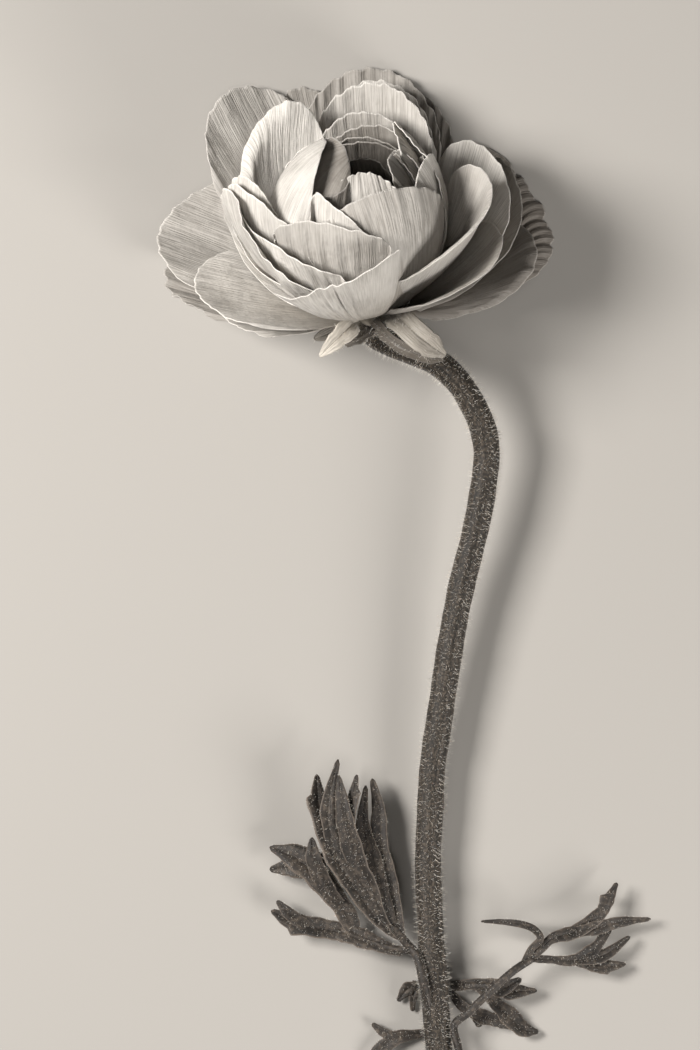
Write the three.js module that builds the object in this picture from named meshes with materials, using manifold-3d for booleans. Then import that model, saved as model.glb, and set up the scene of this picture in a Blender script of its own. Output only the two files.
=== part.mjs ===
// A cut ranunculus lying on a table: one open bloom on its own stem, with three cut leaves.
// Millimetres. x to the right, y along the stem towards the bloom, z up from the table.
import * as THREE from "three";
import { mergeVertices } from "three/addons/utils/BufferGeometryUtils.js";
import Module from "manifold-3d";

const wasm = await Module();
wasm.setup();

// ---- sizes -------------------------------------------------------------------------------

const ORIGIN = [12.7, -21.1, 0]; // taken off every point, so that the part stands on the middle of its box
const PETAL_THICK = 0.7;
const SEPAL_THICK = 0.8;
const LEAF_THICK = 0.8;
const GAP = 0.3; // between one piece and the next
const STEM_RADIUS = 2.95;
const STEM_SIDES = 12;
const KNOB = 3.9; // radius of the receptacle, the knob that the petals grow from
const CLAW_RING = 3.5; // how far from the middle of the knob a petal starts
const INNER_RING = 2; // the same for the petals that start higher up, on the rise
const NECK = 0.18; // width of a petal's claw against the petal's
// The core that the petals stand out of is a bowl: its radii from base to edge, and its edge in degrees.
const CORE = { outer: [25.4, 26], inner: [20, 17.5], reach: 69 };
const ACROSS = 8; // facets of a petal from margin to margin
const ALONG = 4; // facets of a curled petal from claw to tip
const FLAT_CURL = 35; // a petal that curls less than this has one facet fewer
const CORE_STEPS = 6;
const CORE_SIDES = 18;

// The receptacle, and the way the bloom faces: up from the table and along the stem.
const RECEPTACLE = new THREE.Vector3(4.5, 48, 21);
const FACE_UP = 32; // degrees above the table
const FACE_LEFT = 5; // degrees to the left of the y axis
const FOCUS = 24.6; // centre of the cupped inner petals, measured up the bloom's axis

const rad = THREE.MathUtils.degToRad;
const AXIS = new THREE.Vector3(
  -Math.sin(rad(FACE_LEFT)) * Math.cos(rad(FACE_UP)),
  Math.cos(rad(FACE_LEFT)) * Math.cos(rad(FACE_UP)),
  Math.sin(rad(FACE_UP)),
);

// ---- petals ------------------------------------------------------------------------------
// tip: where the petal ends. wide: width along its cross curve. curl: degrees that it bends from
// claw to tip. cup: radius of its cross curve. turn: degrees it is rolled about its own length.
// shoulder: height of the margins against the tip. bow: sideways bulge. skew: one shoulder higher.
// Where a petal has a rim instead, that is its margin from one side of the claw round to the other,
// each vein is an arc from the claw to it, and full says how much of the cup's curve the arc takes.

const HEART_PETALS = [
  { tip: [10, 80.5, 37], wide: 13, curl: 105, cup: 10.5, rise: 3, shoulder: 0.7 },
  { tip: [8, 79.5, 41.5], wide: 13, curl: 110, cup: 10.5, rise: 3, shoulder: 0.75 },
  { rim: [[-5.5, 65.5, 43], [-4, 71, 44], [-1, 75, 44.5], [2.5, 76.5, 45], [6.5, 75.5, 45.5],
      [9.5, 73, 45], [11.5, 65.5, 41]] },
  { rim: [[-11, 67.5, 44], [-10, 75, 43], [-7.5, 80, 42], [-3.5, 83, 38], [-1, 82.5, 37],
      [0, 78.5, 38], [0, 74.5, 41], [-2.5, 71.5, 45], [-6, 70.5, 47], [-7, 65, 46]] },
];

const CUP_PETALS = [
  { tip: [1.5, 85, 28], wide: 30, curl: 106, cup: 16.4, rise: 2, shoulder: 0.7 },
  { tip: [-5.5, 83, 40], wide: 36, curl: 108, cup: 18, turn: 6 },
  { rim: [[-8, 53, 46], [-9.5, 61.5, 48], [-9, 68, 48.5], [-7, 72, 49], [-3.5, 69, 51.5],
      [0.5, 66, 52.5], [4.5, 61, 52], [6, 54, 46]] },
  { rim: [[12, 71, 40], [11.5, 78, 37], [10.5, 84, 34], [9.5, 88.5, 31], [11.5, 86.5, 33],
      [14, 83.5, 34.5], [17, 80, 34.5], [19.5, 72.5, 30]] },
  { rim: [[11, 63, 42], [13.5, 72, 43.5], [15, 78, 40], [17.5, 81, 36], [19, 78, 34],
      [20.5, 73, 33], [20, 66.5, 33]] },
  { tip: [8.5, 72.5, 50.5], wide: 36, curl: 98, cup: 17.4, shoulder: 0.8, skew: 0.05 },
];

const BACK_PETALS = [
  { tip: [3, 91.5, 20], wide: 33, curl: 64, cup: 21, shoulder: 0.7 },
  { tip: [4.5, 98.5, 14], wide: 29, curl: 56, cup: 24, shoulder: 0.65 },
  { tip: [5.5, 99.5, 9.5], wide: 28, curl: 50, cup: 28, shoulder: 0.65 },
  { tip: [4, 103, 1.5], wide: 33, curl: 40, cup: 32, shoulder: 0.65 },
  { tip: [15.5, 96.5, 0.5], wide: 22, curl: 50, cup: 28 },
  { tip: [-14.5, 93.5, 22], wide: 26, curl: 40, cup: 20, shoulder: 0.55, bow: -6 },
  { tip: [-26, 98, 6], wide: 32, curl: 26, cup: 40 },
  { tip: [-12, 98.5, 0.5], wide: 22, curl: 50, cup: 35, shoulder: 0.65 },
];

const LEFT_PETALS = [
  { tip: [-40, 71, 12], wide: 39, curl: 15, cup: 45, shoulder: 0.64, turn: -18, bow: 3 },
  { tip: [-40.5, 60, 1], wide: 28, curl: 26, cup: 45, turn: -8 },
  { tip: [-34, 53.5, 30], wide: 25, curl: 25, cup: 26, turn: -14, bow: 1 },
  { tip: [-28, 48.5, 21], wide: 20, curl: 24, cup: 30, turn: -8 },
];

const FRONT_PETALS = [
  { rim: [[-9, 51.5, 30], [-19.5, 58, 28], [-25, 66, 32], [-26.5, 72, 37], [-24.5, 74.5, 42],
      [-21.5, 72, 44.5], [-18.5, 70, 46.3], [-16, 67.5, 46.5], [-13, 65, 47], [-10, 60.5, 47],
      [-4.5, 52.5, 42]] },
  { rim: [[-4.5, 50.5, 36], [-13, 56.5, 42], [-16, 62, 45.5], [-16, 64, 46.5], [-12.5, 65.5, 49.5],
      [-6.5, 65.5, 52.5], [0, 64, 54.5], [5.5, 62.5, 54], [8.5, 60.5, 52.5], [10, 59, 50.5],
      [9, 54, 46], [5, 49, 36]] },
  { rim: [[-2.5, 47.5, 30], [-13.5, 50, 24], [-23, 58, 24], [-27, 67, 27], [-27.5, 71.5, 34],
      [-26.5, 73.5, 40], [-24.5, 71, 44.5], [-23, 66, 45.5], [-20.5, 62, 46.5], [-17, 57, 47.5],
      [-13, 53.5, 48], [-8, 51, 48], [-3.5, 49, 44]] },
  { rim: [[-1, 46, 30], [-9, 47.5, 36], [-13.5, 49.5, 40], [-16, 51, 42], [-11.5, 49.5, 47],
      [-5.5, 51.5, 53.5], [-1, 52.5, 55.5], [4.5, 55.5, 57], [9, 58.5, 56.5], [10.5, 59.5, 55.5],
      [10, 56, 51], [8, 52, 45.5], [4, 47.5, 34]] },
];

const RIGHT_PETALS = [
  { rim: [[11.5, 58, 24], [18.5, 69, 16], [21.5, 75.5, 21], [23.5, 78.5, 27], [27, 79, 33],
      [30, 75.5, 37], [30, 71, 40.5], [26, 65, 44], [19.5, 59, 46], [14, 55, 45], [8.5, 53, 40]],
    full: 0.7 },
  { rim: [[13, 54.5, 22], [20, 60, 15], [25, 65, 19], [28, 67, 25], [31, 66.5, 31], [33, 63, 35],
      [31, 57.5, 38.5], [25.5, 53, 40.5], [19, 49.5, 41], [13.5, 48, 39], [9, 47.5, 34]],
    full: 0.7 },
  { rim: [[12.5, 60, 14], [17, 71.5, 8], [19.5, 81, 10], [22.5, 85, 12], [27, 85.5, 15.5],
      [31.5, 82, 18.5], [34.5, 76.5, 21.5], [35, 70, 24], [33, 63, 25], [26.5, 54.5, 24],
      [16.5, 49, 22]],
    full: 0.7 },
  { rim: [[14.5, 60, 9], [20, 72, 4.5], [27, 81, 5], [32.5, 82.5, 8], [36, 79, 11.5],
      [38, 71.5, 15.5], [36, 63.5, 19], [31.5, 57.5, 21.5], [25, 52, 22], [15.5, 48, 21]],
    full: 0.7 },
  { rim: [[15.5, 59, 7], [19, 72, 2.5], [23, 82.5, 2], [28, 87, 1.5], [34, 84.5, 1.5],
      [39, 79.5, 1], [44, 72.5, 1], [45.5, 65.5, 1], [43, 59, 3], [33.5, 52.5, 8], [19, 49, 15]],
    full: 0.6 },
  { rim: [[15.5, 52.5, 13], [23.5, 59, 6], [31.5, 66, 4.5], [37.5, 68, 7], [41, 64.5, 11],
      [41.5, 60, 14], [38.5, 55, 16], [33.5, 50.5, 17], [26.5, 47.5, 17.5], [20, 46, 17.5],
      [14, 46.5, 18]],
    full: 0.6 },
  { rim: [[8, 50, 26], [9.5, 54.5, 28], [11.5, 58, 27], [14, 57, 25], [14, 52.5, 26], [13, 49, 27]],
    full: 0.5 },
];

const PETALS = [
  ...HEART_PETALS,
  ...CUP_PETALS,
  ...BACK_PETALS,
  ...LEFT_PETALS,
  ...FRONT_PETALS,
  ...RIGHT_PETALS,
];

// The knob of carpels in the middle of the bloom: its radius at each height above the receptacle.
const HEART_PROFILE = [[0, 6], [1.1, 6], [1.2, 15], [4, 18], [4.8, 22], [4, 26], [0, 28.5]];

// A sepal is a folded blade on a path: fold is how far its edges rise against its width.
const SEPALS = [
  { path: [[3.5, 45, 19.5], [1.5, 45, 22.5], [-0.5, 43.3, 28], [-3.5, 40.2, 31.5], [-6.7, 37, 32]],
    wide: [3.5, 4.6, 4.8, 4.2, 0.9], tilt: -12, fold: 0.2 },
  { path: [[4.5, 44, 20], [3.5, 43, 23.5], [1.5, 41.4, 26], [-1, 39.7, 26.5]],
    wide: [3, 3.6, 3.2, 1.2], tilt: 10 },
  { path: [[5.5, 45.5, 19.5], [7.5, 46, 21.5], [9.7, 44.2, 28], [12.2, 41.5, 32.5], [15, 39.8, 34.3],
      [18, 38, 34.3], [20.6, 36.6, 33]],
    wide: [4, 6.6, 7.6, 7.8, 7.2, 6, 1.2], fold: 0.26 },
  { path: [[5.5, 43.5, 16], [7, 42, 11], [9, 40, 7]], wide: [3.5, 5, 1] },
  { path: [[3, 44.5, 17], [-2.5, 43.5, 14.5], [-8, 41.5, 13.5]], wide: [3.5, 5, 1] },
];

// ---- stem --------------------------------------------------------------------------------

const STEM_PATH = [
  [5, 42, 17.3],
  [9, 40.5, 17.5],
  [14, 38.5, 17.5],
  [19.5, 36, 17],
  [24, 32, 16],
  [27, 27.5, 15],
  [29.5, 22, 14],
  [30.5, 16.5, 13],
  [30, 10, 12.2],
  [29, 3.5, 11.5],
  [27.5, -3.5, 10.7],
  [25, -13.5, 9.7],
  [23, -24, 8.8],
  [21.5, -33.5, 8],
  [20, -44, 7.2],
  [18.5, -54.5, 6.5],
  [18, -64.5, 5.9],
  [17.5, -75, 5.4],
  [18, -88.5, 5],
  [18.5, -98, 4.9],
  [19.5, -111.5, 4.7],
  [20, -118, 4.4],
  [20.5, -127, 3.8],
  [21, -136, 3.3],
  [21.5, -145, 2.9],
];
const LEAF_NODES = [
  { at: [18.9, -103.5, 4.8], reach: 9, rise: 0.35 },
  { at: [21, -134.5, 3.35], reach: 8, rise: 0.3 },
];

// ---- leaves ------------------------------------------------------------------------------
// A leaf is a stalk and cut lobes. path: its middle line. wide: the width at each point of it.
// A lobe folds up along its middle line, and tilt rolls it, in degrees.

const LEAF_LEFT = {
  stalks: [
    { path: [[17.5, -108, 7], [16.6, -103, 8.8], [15, -96.5, 7.6], [13, -94.5, 6.5]], radius: 1.1 },
    { path: [[13.5, -95.5, 6.8], [9, -95, 6], [4, -93.5, 5.2], [-2, -91, 5]], radius: 0.9 },
    { path: [[14, -95.5, 7], [12, -93, 7], [9.5, -90, 7.5]], radius: 1 },
  ],
  lobes: [
    { path: [[11, -92.5, 7], [7.5, -90, 8], [1.5, -82, 9.5], [-3.5, -73.5, 10], [-7, -63, 9],
        [-7.5, -56, 7]], wide: [1.6, 2.4, 4.5, 6, 5.5, 1], tilt: 25 },
    { path: [[-3.5, -73.5, 10], [-5, -64, 10], [-2.7, -52.5, 9]], wide: [3, 3.6, 1], tilt: 10 },
    { path: [[11, -92, 7], [8, -89.5, 8], [4.5, -81, 9], [1.5, -75, 10], [-1, -66, 11], [-2.5, -56, 10]],
      wide: [1.6, 2.2, 3.6, 4.8, 4.6, 0.9], tilt: -20 },
    { path: [[-0.5, -68, 10.5], [0.5, -62, 10], [1.6, -56, 8.5]], wide: [2.6, 2.4, 0.8], tilt: -30 },
    { path: [[11.5, -92.5, 7], [10, -91, 7.4], [7.5, -83, 8], [4.5, -73.5, 7.5], [2.8, -68, 7],
        [3.5, -58.5, 6]], wide: [1.6, 2, 3, 4.2, 3.6, 0.9], tilt: 20 },
    { path: [[11.7, -92.5, 7], [11, -89, 7], [9.4, -81, 6.5], [6.8, -71.5, 6], [6.4, -63.5, 5.6],
        [5, -57, 5]], wide: [1.6, 2.2, 3.2, 4, 3.2, 0.9], tilt: -15 },
    { path: [[1, -92.5, 5], [-0.5, -88, 5.5], [-5.5, -81, 6.5], [-11.5, -75, 6], [-18, -72.5, 4]],
      wide: [1.5, 3, 4.6, 6.5, 1], tilt: 12 },
    { path: [[-8, -78, 6.3], [-13, -77, 5.5], [-18, -77.5, 3.8]], wide: [3.4, 4.6, 1], tilt: 5 },
    { path: [[-2.5, -85, 6], [-4.8, -82, 7], [-8, -75, 8.5], [-8.5, -70, 8.5]],
      wide: [1.8, 3, 4.2, 0.9], tilt: -18 },
    { path: [[-6, -78.5, 7.5], [-6, -75, 8.5], [-3.6, -72.3, 8]], wide: [2.4, 2.6, 0.8] },
    { path: [[-0.5, -91.5, 5], [-4.7, -91, 4.8], [-12.3, -89.5, 4.5], [-17.7, -86.8, 3.5]],
      wide: [1.8, 3, 4.6, 1], tilt: 15 },
    { path: [[-10, -90, 4.6], [-13.5, -87.5, 5], [-16.4, -84.5, 4.4]], wide: [2.4, 3, 0.8] },
  ],
};

const LEAF_RIGHT = {
  stalks: [
    { path: [[14, -103.5, 1.1], [18, -104, 1], [22.8, -104.3, 1.2], [26, -104, 2]], radius: 0.9 },
  ],
  lobes: [
    { path: [[22.8, -103.8, 1.4], [30.5, -103.2, 4], [34, -104, 5], [38.5, -102, 5]],
      wide: [2, 2.8, 4.4, 0.9], tilt: 10 },
    { path: [[30.5, -103.5, 4], [36, -104.8, 4.2], [42, -104.8, 3.4]], wide: [2.8, 4, 0.9], tilt: -8 },
    { path: [[28.5, -103.8, 3], [32, -107, 3], [36, -110.8, 2.6], [39, -113.6, 2.2], [42.4, -114.3, 1.6]],
      wide: [1.6, 2.6, 4.6, 3.6, 0.9], tilt: -12 },
    { path: [[20, -104.3, 1.1], [22.8, -105.5, 1.6], [25.2, -108.2, 2.6], [29.6, -110.5, 3.2],
        [33.9, -111.8, 2.6], [37.3, -113.6, 1.6]], wide: [1.6, 1.8, 2.2, 3.4, 3, 0.9], tilt: 10 },
    { path: [[27, -109.2, 3], [28.6, -111, 2.8], [29.2, -113, 2.2]], wide: [2, 2.4, 1.2] },
    { path: [[15.5, -103.7, 1.1], [13, -104.6, 1.6], [10.8, -107.3, 1.4]], wide: [1.8, 3.2, 0.9] },
    { path: [[15, -103.8, 1.1], [14.2, -106.5, 1.4], [14.1, -109.6, 1]], wide: [1.6, 1.8, 0.8] },
  ],
};

const LEAF_LOWER = {
  stalks: [
    { path: [[22, -136, 6.4], [24, -127, 7.6], [24.4, -118, 7.6], [23.4, -112.3, 6.6], [26.5, -109.5, 7],
        [31, -105, 8], [36.6, -100, 8], [41, -97.2, 7]], radius: 0.9 },
    { path: [[23.6, -113, 6.4], [23.6, -113.2, 3], [22.6, -113.4, 1.1], [19.5, -113.5, 0.9],
        [15.9, -114.5, 0.9]], radius: 0.6 },
  ],
  lobes: [
    { path: [[39, -98.2, 7.4], [40.6, -95, 8], [42.6, -92.6, 8.5], [41.2, -90.6, 9], [38.4, -89.5, 9],
        [34, -89, 8], [29.5, -89, 6.5]], wide: [1.6, 2.2, 2.6, 2.8, 3, 2.8, 0.9], tilt: 15 },
    { path: [[40, -97.3, 7.2], [41.6, -96.3, 7.2], [45.4, -92.8, 7], [50.7, -91.3, 6.2],
        [56.3, -87.2, 5.6], [58.2, -84, 5.2], [60, -80.5, 4.4]],
      wide: [1.6, 1.8, 2.4, 3.4, 3, 2.6, 0.8], tilt: -10 },
    { path: [[51, -91.3, 6.2], [56, -90.3, 5.6], [60, -89.3, 5], [67.6, -88.6, 3.6]],
      wide: [2.6, 3.4, 2.6, 0.8], tilt: 12 },
    { path: [[41, -97.3, 7], [45, -97.5, 6.4], [49.6, -97.8, 5.6], [53.5, -96.4, 5], [58.8, -90.8, 3.8]],
      wide: [1.6, 1.8, 2.4, 3.6, 0.8], tilt: 8 },
    { path: [[49.6, -97.8, 5.6], [54, -97.5, 5], [57.4, -96.6, 4.4], [63, -92.6, 3.2]],
      wide: [2, 2.8, 3, 0.8], tilt: -8 },
    { path: [[50.5, -98, 5.4], [55, -98.9, 4.4], [58.5, -99.2, 3.8], [62, -98.8, 3]],
      wide: [1.8, 3.2, 2.6, 0.8] },
    { path: [[17.2, -114.1, 1], [15.9, -114.6, 1.2], [10.3, -115.6, 2], [7.2, -118, 1.8],
        [3.5, -120.5, 1.2]], wide: [1.4, 1.8, 3.2, 3.6, 0.9], tilt: 8 },
    { path: [[11.5, -115.4, 1.9], [8, -114.6, 2], [5, -112.4, 1.4]], wide: [1.8, 2.4, 0.8] },
  ],
};

// ---- geometry helpers --------------------------------------------------------------------

const vec = (p) => new THREE.Vector3(p[0], p[1], p[2]);
const alongAxis = (d) => RECEPTACLE.clone().addScaledVector(AXIS, d);

function geometryOf(points, faces) {
  const geometry = new THREE.BufferGeometry();
  const flat = points.flatMap((p) => [p.x, p.y, p.z]);
  geometry.setAttribute("position", new THREE.Float32BufferAttribute(flat, 3));
  geometry.setIndex(faces.flat());
  return geometry;
}

function solidFrom(geometry) {
  const bare = geometry.clone();
  bare.deleteAttribute("normal");
  bare.deleteAttribute("uv");
  const merged = mergeVertices(bare, 1e-4);
  return new wasm.Manifold(
    new wasm.Mesh({
      numProp: 3,
      vertProperties: new Float32Array(merged.attributes.position.array),
      triVerts: new Uint32Array(merged.index.array),
    }),
  );
}

const joined = (solids) => wasm.Manifold.union(solids);

// A solid of revolution about the bloom's axis, from radii and heights above the receptacle's middle.
function turned(profile, sides) {
  const lathe = new THREE.LatheGeometry(profile, sides);
  lathe.applyQuaternion(new THREE.Quaternion().setFromUnitVectors(new THREE.Vector3(0, 1, 0), AXIS));
  lathe.translate(...RECEPTACLE.toArray());
  return solidFrom(lathe);
}

// Keeps the middle of a blade off the table by half its thickness.
function liftedOff(z, floor) {
  if (z > 8) return z;
  const soft = 0.8;
  return floor + soft * Math.log1p(Math.exp((z - floor) / soft));
}

// ---- the petals' blades ------------------------------------------------------------------

// The frame of one petal: its claw, its length and the bend between claw and tip.
function petalFrame(petal) {
  if (petal.rim) return { curve: new THREE.CatmullRomCurve3(petal.rim.map(vec), false, "centripetal") };
  const tip = vec(petal.tip);
  const start = alongAxis(petal.rise ?? 0);
  const out = tip.clone().sub(start);
  out.addScaledVector(AXIS, -out.dot(AXIS)).normalize();
  start.addScaledVector(out, petal.rise ? INNER_RING : CLAW_RING);
  const chord = tip.clone().sub(start);
  const length = chord.length();
  const y = chord.normalize();
  const inward = alongAxis(FOCUS).sub(start.clone().add(tip).multiplyScalar(0.5));
  inward.addScaledVector(y, -inward.dot(y)).normalize();
  inward.applyAxisAngle(y, rad(petal.turn ?? 0));
  const x = new THREE.Vector3().crossVectors(y, inward);
  const bend = rad(petal.curl);
  return { start, x, y, inward, bend, radius: length / 2 / Math.sin(bend / 2) };
}

// One point of a petal that is set out by its tip, width, curl and cup.
function fanPoint(petal, frame, angle, t) {
  const shoulder = petal.shoulder ?? 0.6;
  const margin = (shoulder + (1 - shoulder) * Math.cos(angle)) * (1 + (petal.skew ?? 0) * Math.sin(angle));
  const s = t * margin;
  const spread = NECK + (1 - NECK) * Math.sin((Math.PI / 2) * t ** 0.9);
  const side = (petal.wide / 2) * spread * Math.sin(angle) + (petal.bow ?? 0) * Math.sin(Math.PI * s);
  const { start, x, y, inward, bend, radius } = frame;
  const a = -bend / 2 + bend * s;
  const across = side / petal.cup;
  const normal = inward.clone().multiplyScalar(Math.cos(a)).addScaledVector(y, -Math.sin(a));
  return start
    .clone()
    .addScaledVector(y, radius * (Math.sin(a) + Math.sin(bend / 2)))
    .addScaledVector(inward, radius * (Math.cos(bend / 2) - Math.cos(a)))
    .addScaledVector(x, Math.sin(across) * petal.cup)
    .addScaledVector(normal, (1 - Math.cos(across)) * petal.cup);
}

// One point of a petal that is set out by its rim.
function rimPoint(petal, frame, angle, t) {
  const end = frame.curve.getPoint(THREE.MathUtils.clamp(angle / Math.PI + 0.5, 0, 1));
  const out = end.clone().sub(RECEPTACLE);
  out.addScaledVector(AXIS, -out.dot(AXIS)).normalize();
  const start = RECEPTACLE.clone().addScaledVector(out, CLAW_RING);
  const focus = alongAxis(FOCUS);
  const chord = end.clone().sub(start);
  const length = chord.length();
  const y = chord.normalize();
  const inward = focus.clone().sub(start.clone().add(end).multiplyScalar(0.5));
  inward.addScaledVector(y, -inward.dot(y)).normalize();
  const bend = (petal.full ?? 1) * start.clone().sub(focus).angleTo(end.clone().sub(focus));
  const radius = length / 2 / Math.sin(bend / 2);
  const a = -bend / 2 + bend * t;
  return start
    .addScaledVector(y, radius * (Math.sin(a) + Math.sin(bend / 2)))
    .addScaledVector(inward, radius * (Math.cos(bend / 2) - Math.cos(a)));
}

// One point of a petal. angle runs over the margin, -90 to 90 degrees, and t from claw to margin.
function petalPoint(petal, frame, angle, t) {
  const point = petal.rim ? rimPoint(petal, frame, angle, t) : fanPoint(petal, frame, angle, t);
  point.z = liftedOff(point.z, PETAL_THICK / 2);
  return point;
}

function petalNormal(petal, frame, angle, t) {
  const a = THREE.MathUtils.clamp(angle, rad(-78), rad(78));
  const u = Math.max(t, 0.08);
  const step = 0.02;
  const across = petalPoint(petal, frame, a + step, u).sub(petalPoint(petal, frame, a - step, u));
  const along = petalPoint(petal, frame, a, u + step).sub(petalPoint(petal, frame, a, u - step));
  return across.cross(along).normalize();
}

// A blade of even thickness, with the same triangles on both faces and a border between them.
function bladeSolid(petal, frame, thick, across, along) {
  const points = [];
  for (const half of [thick / 2, -thick / 2])
    for (let j = 0; j <= along; j++)
      for (let i = 0; i <= across; i++) {
        const angle = rad(-90 + (180 * i) / across);
        const t = j / along;
        const p = petalPoint(petal, frame, angle, t);
        p.addScaledVector(petalNormal(petal, frame, angle, t), half);
        p.z = Math.max(p.z, 0);
        points.push(p);
      }
  const row = across + 1;
  const back = row * (along + 1);
  const faces = [];
  for (let j = 0; j < along; j++)
    for (let i = 0; i < across; i++) {
      const [a, b, c, d] = [j * row + i, j * row + i + 1, (j + 1) * row + i + 1, (j + 1) * row + i];
      faces.push([a, b, c], [a, c, d]);
      faces.push([back + a, back + c, back + b], [back + a, back + d, back + c]);
    }
  const border = [];
  for (let i = 0; i < across; i++) border.push(i);
  for (let j = 0; j < along; j++) border.push(j * row + across);
  for (let i = across; i > 0; i--) border.push(along * row + i);
  for (let j = along; j > 0; j--) border.push(j * row);
  border.forEach((a, k) => {
    const b = border[(k + 1) % border.length];
    faces.push([a, back + a, b], [b, back + a, back + b]);
  });
  return solidFrom(geometryOf(points, faces));
}

// The bowl round the focus in which the crowded lower parts of the petals have grown together.
function coreSolid(grow) {
  const wall = (radii, change) =>
    Array.from({ length: CORE_STEPS + 1 }, (_, k) => {
      const share = k / CORE_STEPS;
      const radius = THREE.MathUtils.lerp(...radii, share) + change;
      const angle = rad(CORE.reach * share);
      return new THREE.Vector2(radius * Math.sin(angle), FOCUS - radius * Math.cos(angle));
    });
  return turned([...wall(CORE.outer, grow), ...wall(CORE.inner, -grow).reverse()], CORE_SIDES);
}

function bloomSolid(grow) {
  const petals = PETALS.map((petal) => {
    const across = petal.rim ? Math.min(ACROSS, petal.rim.length) : ACROSS;
    const along = petal.rim || petal.curl < FLAT_CURL ? ALONG - 1 : ALONG;
    return bladeSolid(petal, petalFrame(petal), PETAL_THICK + 2 * grow, across, along);
  });
  const receptacle = new THREE.SphereGeometry(KNOB + grow, 14, 8);
  receptacle.translate(...alongAxis(0).toArray());
  return joined([...petals, coreSolid(grow), solidFrom(receptacle)]);
}

// ---- stem --------------------------------------------------------------------------------

function tubeSolid(path, radius, sides, steps) {
  const section = new THREE.Shape(
    Array.from({ length: sides }, (_, i) => {
      const a = (2 * Math.PI * i) / sides;
      return new THREE.Vector2(radius * Math.cos(a), radius * Math.sin(a));
    }),
  );
  const extrudePath = new THREE.CatmullRomCurve3(path.map(vec), false, "centripetal");
  return solidFrom(new THREE.ExtrudeGeometry(section, { steps, extrudePath, bevelEnabled: false }));
}

// The stem with the slight swelling where each leaf leaves it.
function stemSolid(grow) {
  const swellings = LEAF_NODES.map(({ at, reach, rise }) => {
    const ball = new THREE.SphereGeometry(1, 10, 6);
    ball.scale(STEM_RADIUS + rise + grow, reach, STEM_RADIUS + rise + grow);
    ball.translate(...at);
    return solidFrom(ball);
  });
  return joined([tubeSolid(STEM_PATH, STEM_RADIUS + grow, STEM_SIDES, 38), ...swellings]);
}

// ---- leaves ------------------------------------------------------------------------------

function lobeSolid({ path, wide, tilt = 0, fold = 0.14 }, thick = LEAF_THICK) {
  const curve = new THREE.CatmullRomCurve3(path.map(vec), false, "centripetal");
  const spans = path.length - 1;
  const rings = spans + 1;
  const points = [];
  const faces = [];
  for (let j = 0; j <= rings; j++) {
    const u = j / rings;
    const k = Math.min(Math.floor(u * spans), spans - 1);
    const blend = u * spans - k;
    const w = THREE.MathUtils.lerp(wide[k], wide[k + 1], blend);
    const centre = curve.getPoint(u);
    const ahead = curve.getTangent(u);
    const side = ahead.clone().cross(new THREE.Vector3(0, 0, 1)).normalize();
    side.applyAxisAngle(ahead, rad(tilt));
    const up = new THREE.Vector3().crossVectors(side, ahead);
    const lift = w * fold;
    const half = thick / 2;
    for (const [across, rise] of [[-w / 2, lift], [0, 0], [w / 2, lift]])
      points.push(centre.clone().addScaledVector(side, across).addScaledVector(up, rise + half));
    for (const [across, rise] of [[w / 2, lift], [0, 0], [-w / 2, lift]])
      points.push(centre.clone().addScaledVector(side, across).addScaledVector(up, rise - half));
  }
  for (const p of points) p.z = Math.max(p.z, 0);
  for (let j = 0; j < rings; j++)
    for (let i = 0; i < 6; i++) {
      const n = (i + 1) % 6;
      const [a, b, c, d] = [j * 6 + i, j * 6 + n, (j + 1) * 6 + n, (j + 1) * 6 + i];
      faces.push([a, b, c], [a, c, d]);
    }
  const last = rings * 6;
  for (const [a, b, c] of [[0, 1, 5], [1, 4, 5], [1, 2, 4], [2, 3, 4]]) {
    faces.push([a, c, b]);
    faces.push([last + a, last + b, last + c]);
  }
  return solidFrom(geometryOf(points, faces));
}

function leafSolid(leaf) {
  const stalks = leaf.stalks.map(({ path, radius }) => tubeSolid(path, radius, 6, 2 * path.length));
  return joined([...stalks, ...leaf.lobes.map((lobe) => lobeSolid(lobe))]);
}

// ---- the pieces --------------------------------------------------------------------------

const heartRough = () => turned(HEART_PROFILE.map(([r, h]) => new THREE.Vector2(r, h)), 16);

function calyxRough() {
  const disc = new THREE.CylinderGeometry(3.5, 2.6, 1.7, 14);
  disc.applyQuaternion(new THREE.Quaternion().setFromUnitVectors(new THREE.Vector3(0, 1, 0), AXIS));
  disc.translate(...alongAxis(-5).toArray());
  return joined([solidFrom(disc), ...SEPALS.map((sepal) => lobeSolid(sepal, SEPAL_THICK))]);
}

// The largest body of a solid, with the pockets that crossing blades close off filled in.
const mainBody = (solid) => solid.decompose().sort((a, b) => b.volume() - a.volume())[0];

const clearOf = (solid, neighbours) =>
  mainBody(neighbours.reduce((left, other) => left.subtract(other), solid));

function meshOf(name, solid, material) {
  const made = solid.getMesh();
  const geometry = new THREE.BufferGeometry();
  geometry.setAttribute("position", new THREE.BufferAttribute(made.vertProperties, 3));
  geometry.setIndex(new THREE.BufferAttribute(made.triVerts, 1));
  geometry.translate(-ORIGIN[0], -ORIGIN[1], -ORIGIN[2]);
  const mesh = new THREE.Mesh(geometry, material);
  mesh.name = name;
  return mesh;
}

const paint = (color, roughness) => new THREE.MeshStandardMaterial({ color, roughness });
const petalPaint = paint(0xd8d0c4, 0.6);
const heartPaint = paint(0x241c16, 0.8);
const sepalPaint = paint(0xb9b1a4, 0.6);
const stemPaint = paint(0x6f665a, 0.6);
const leafPaint = paint(0x5f574b, 0.7);

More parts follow.
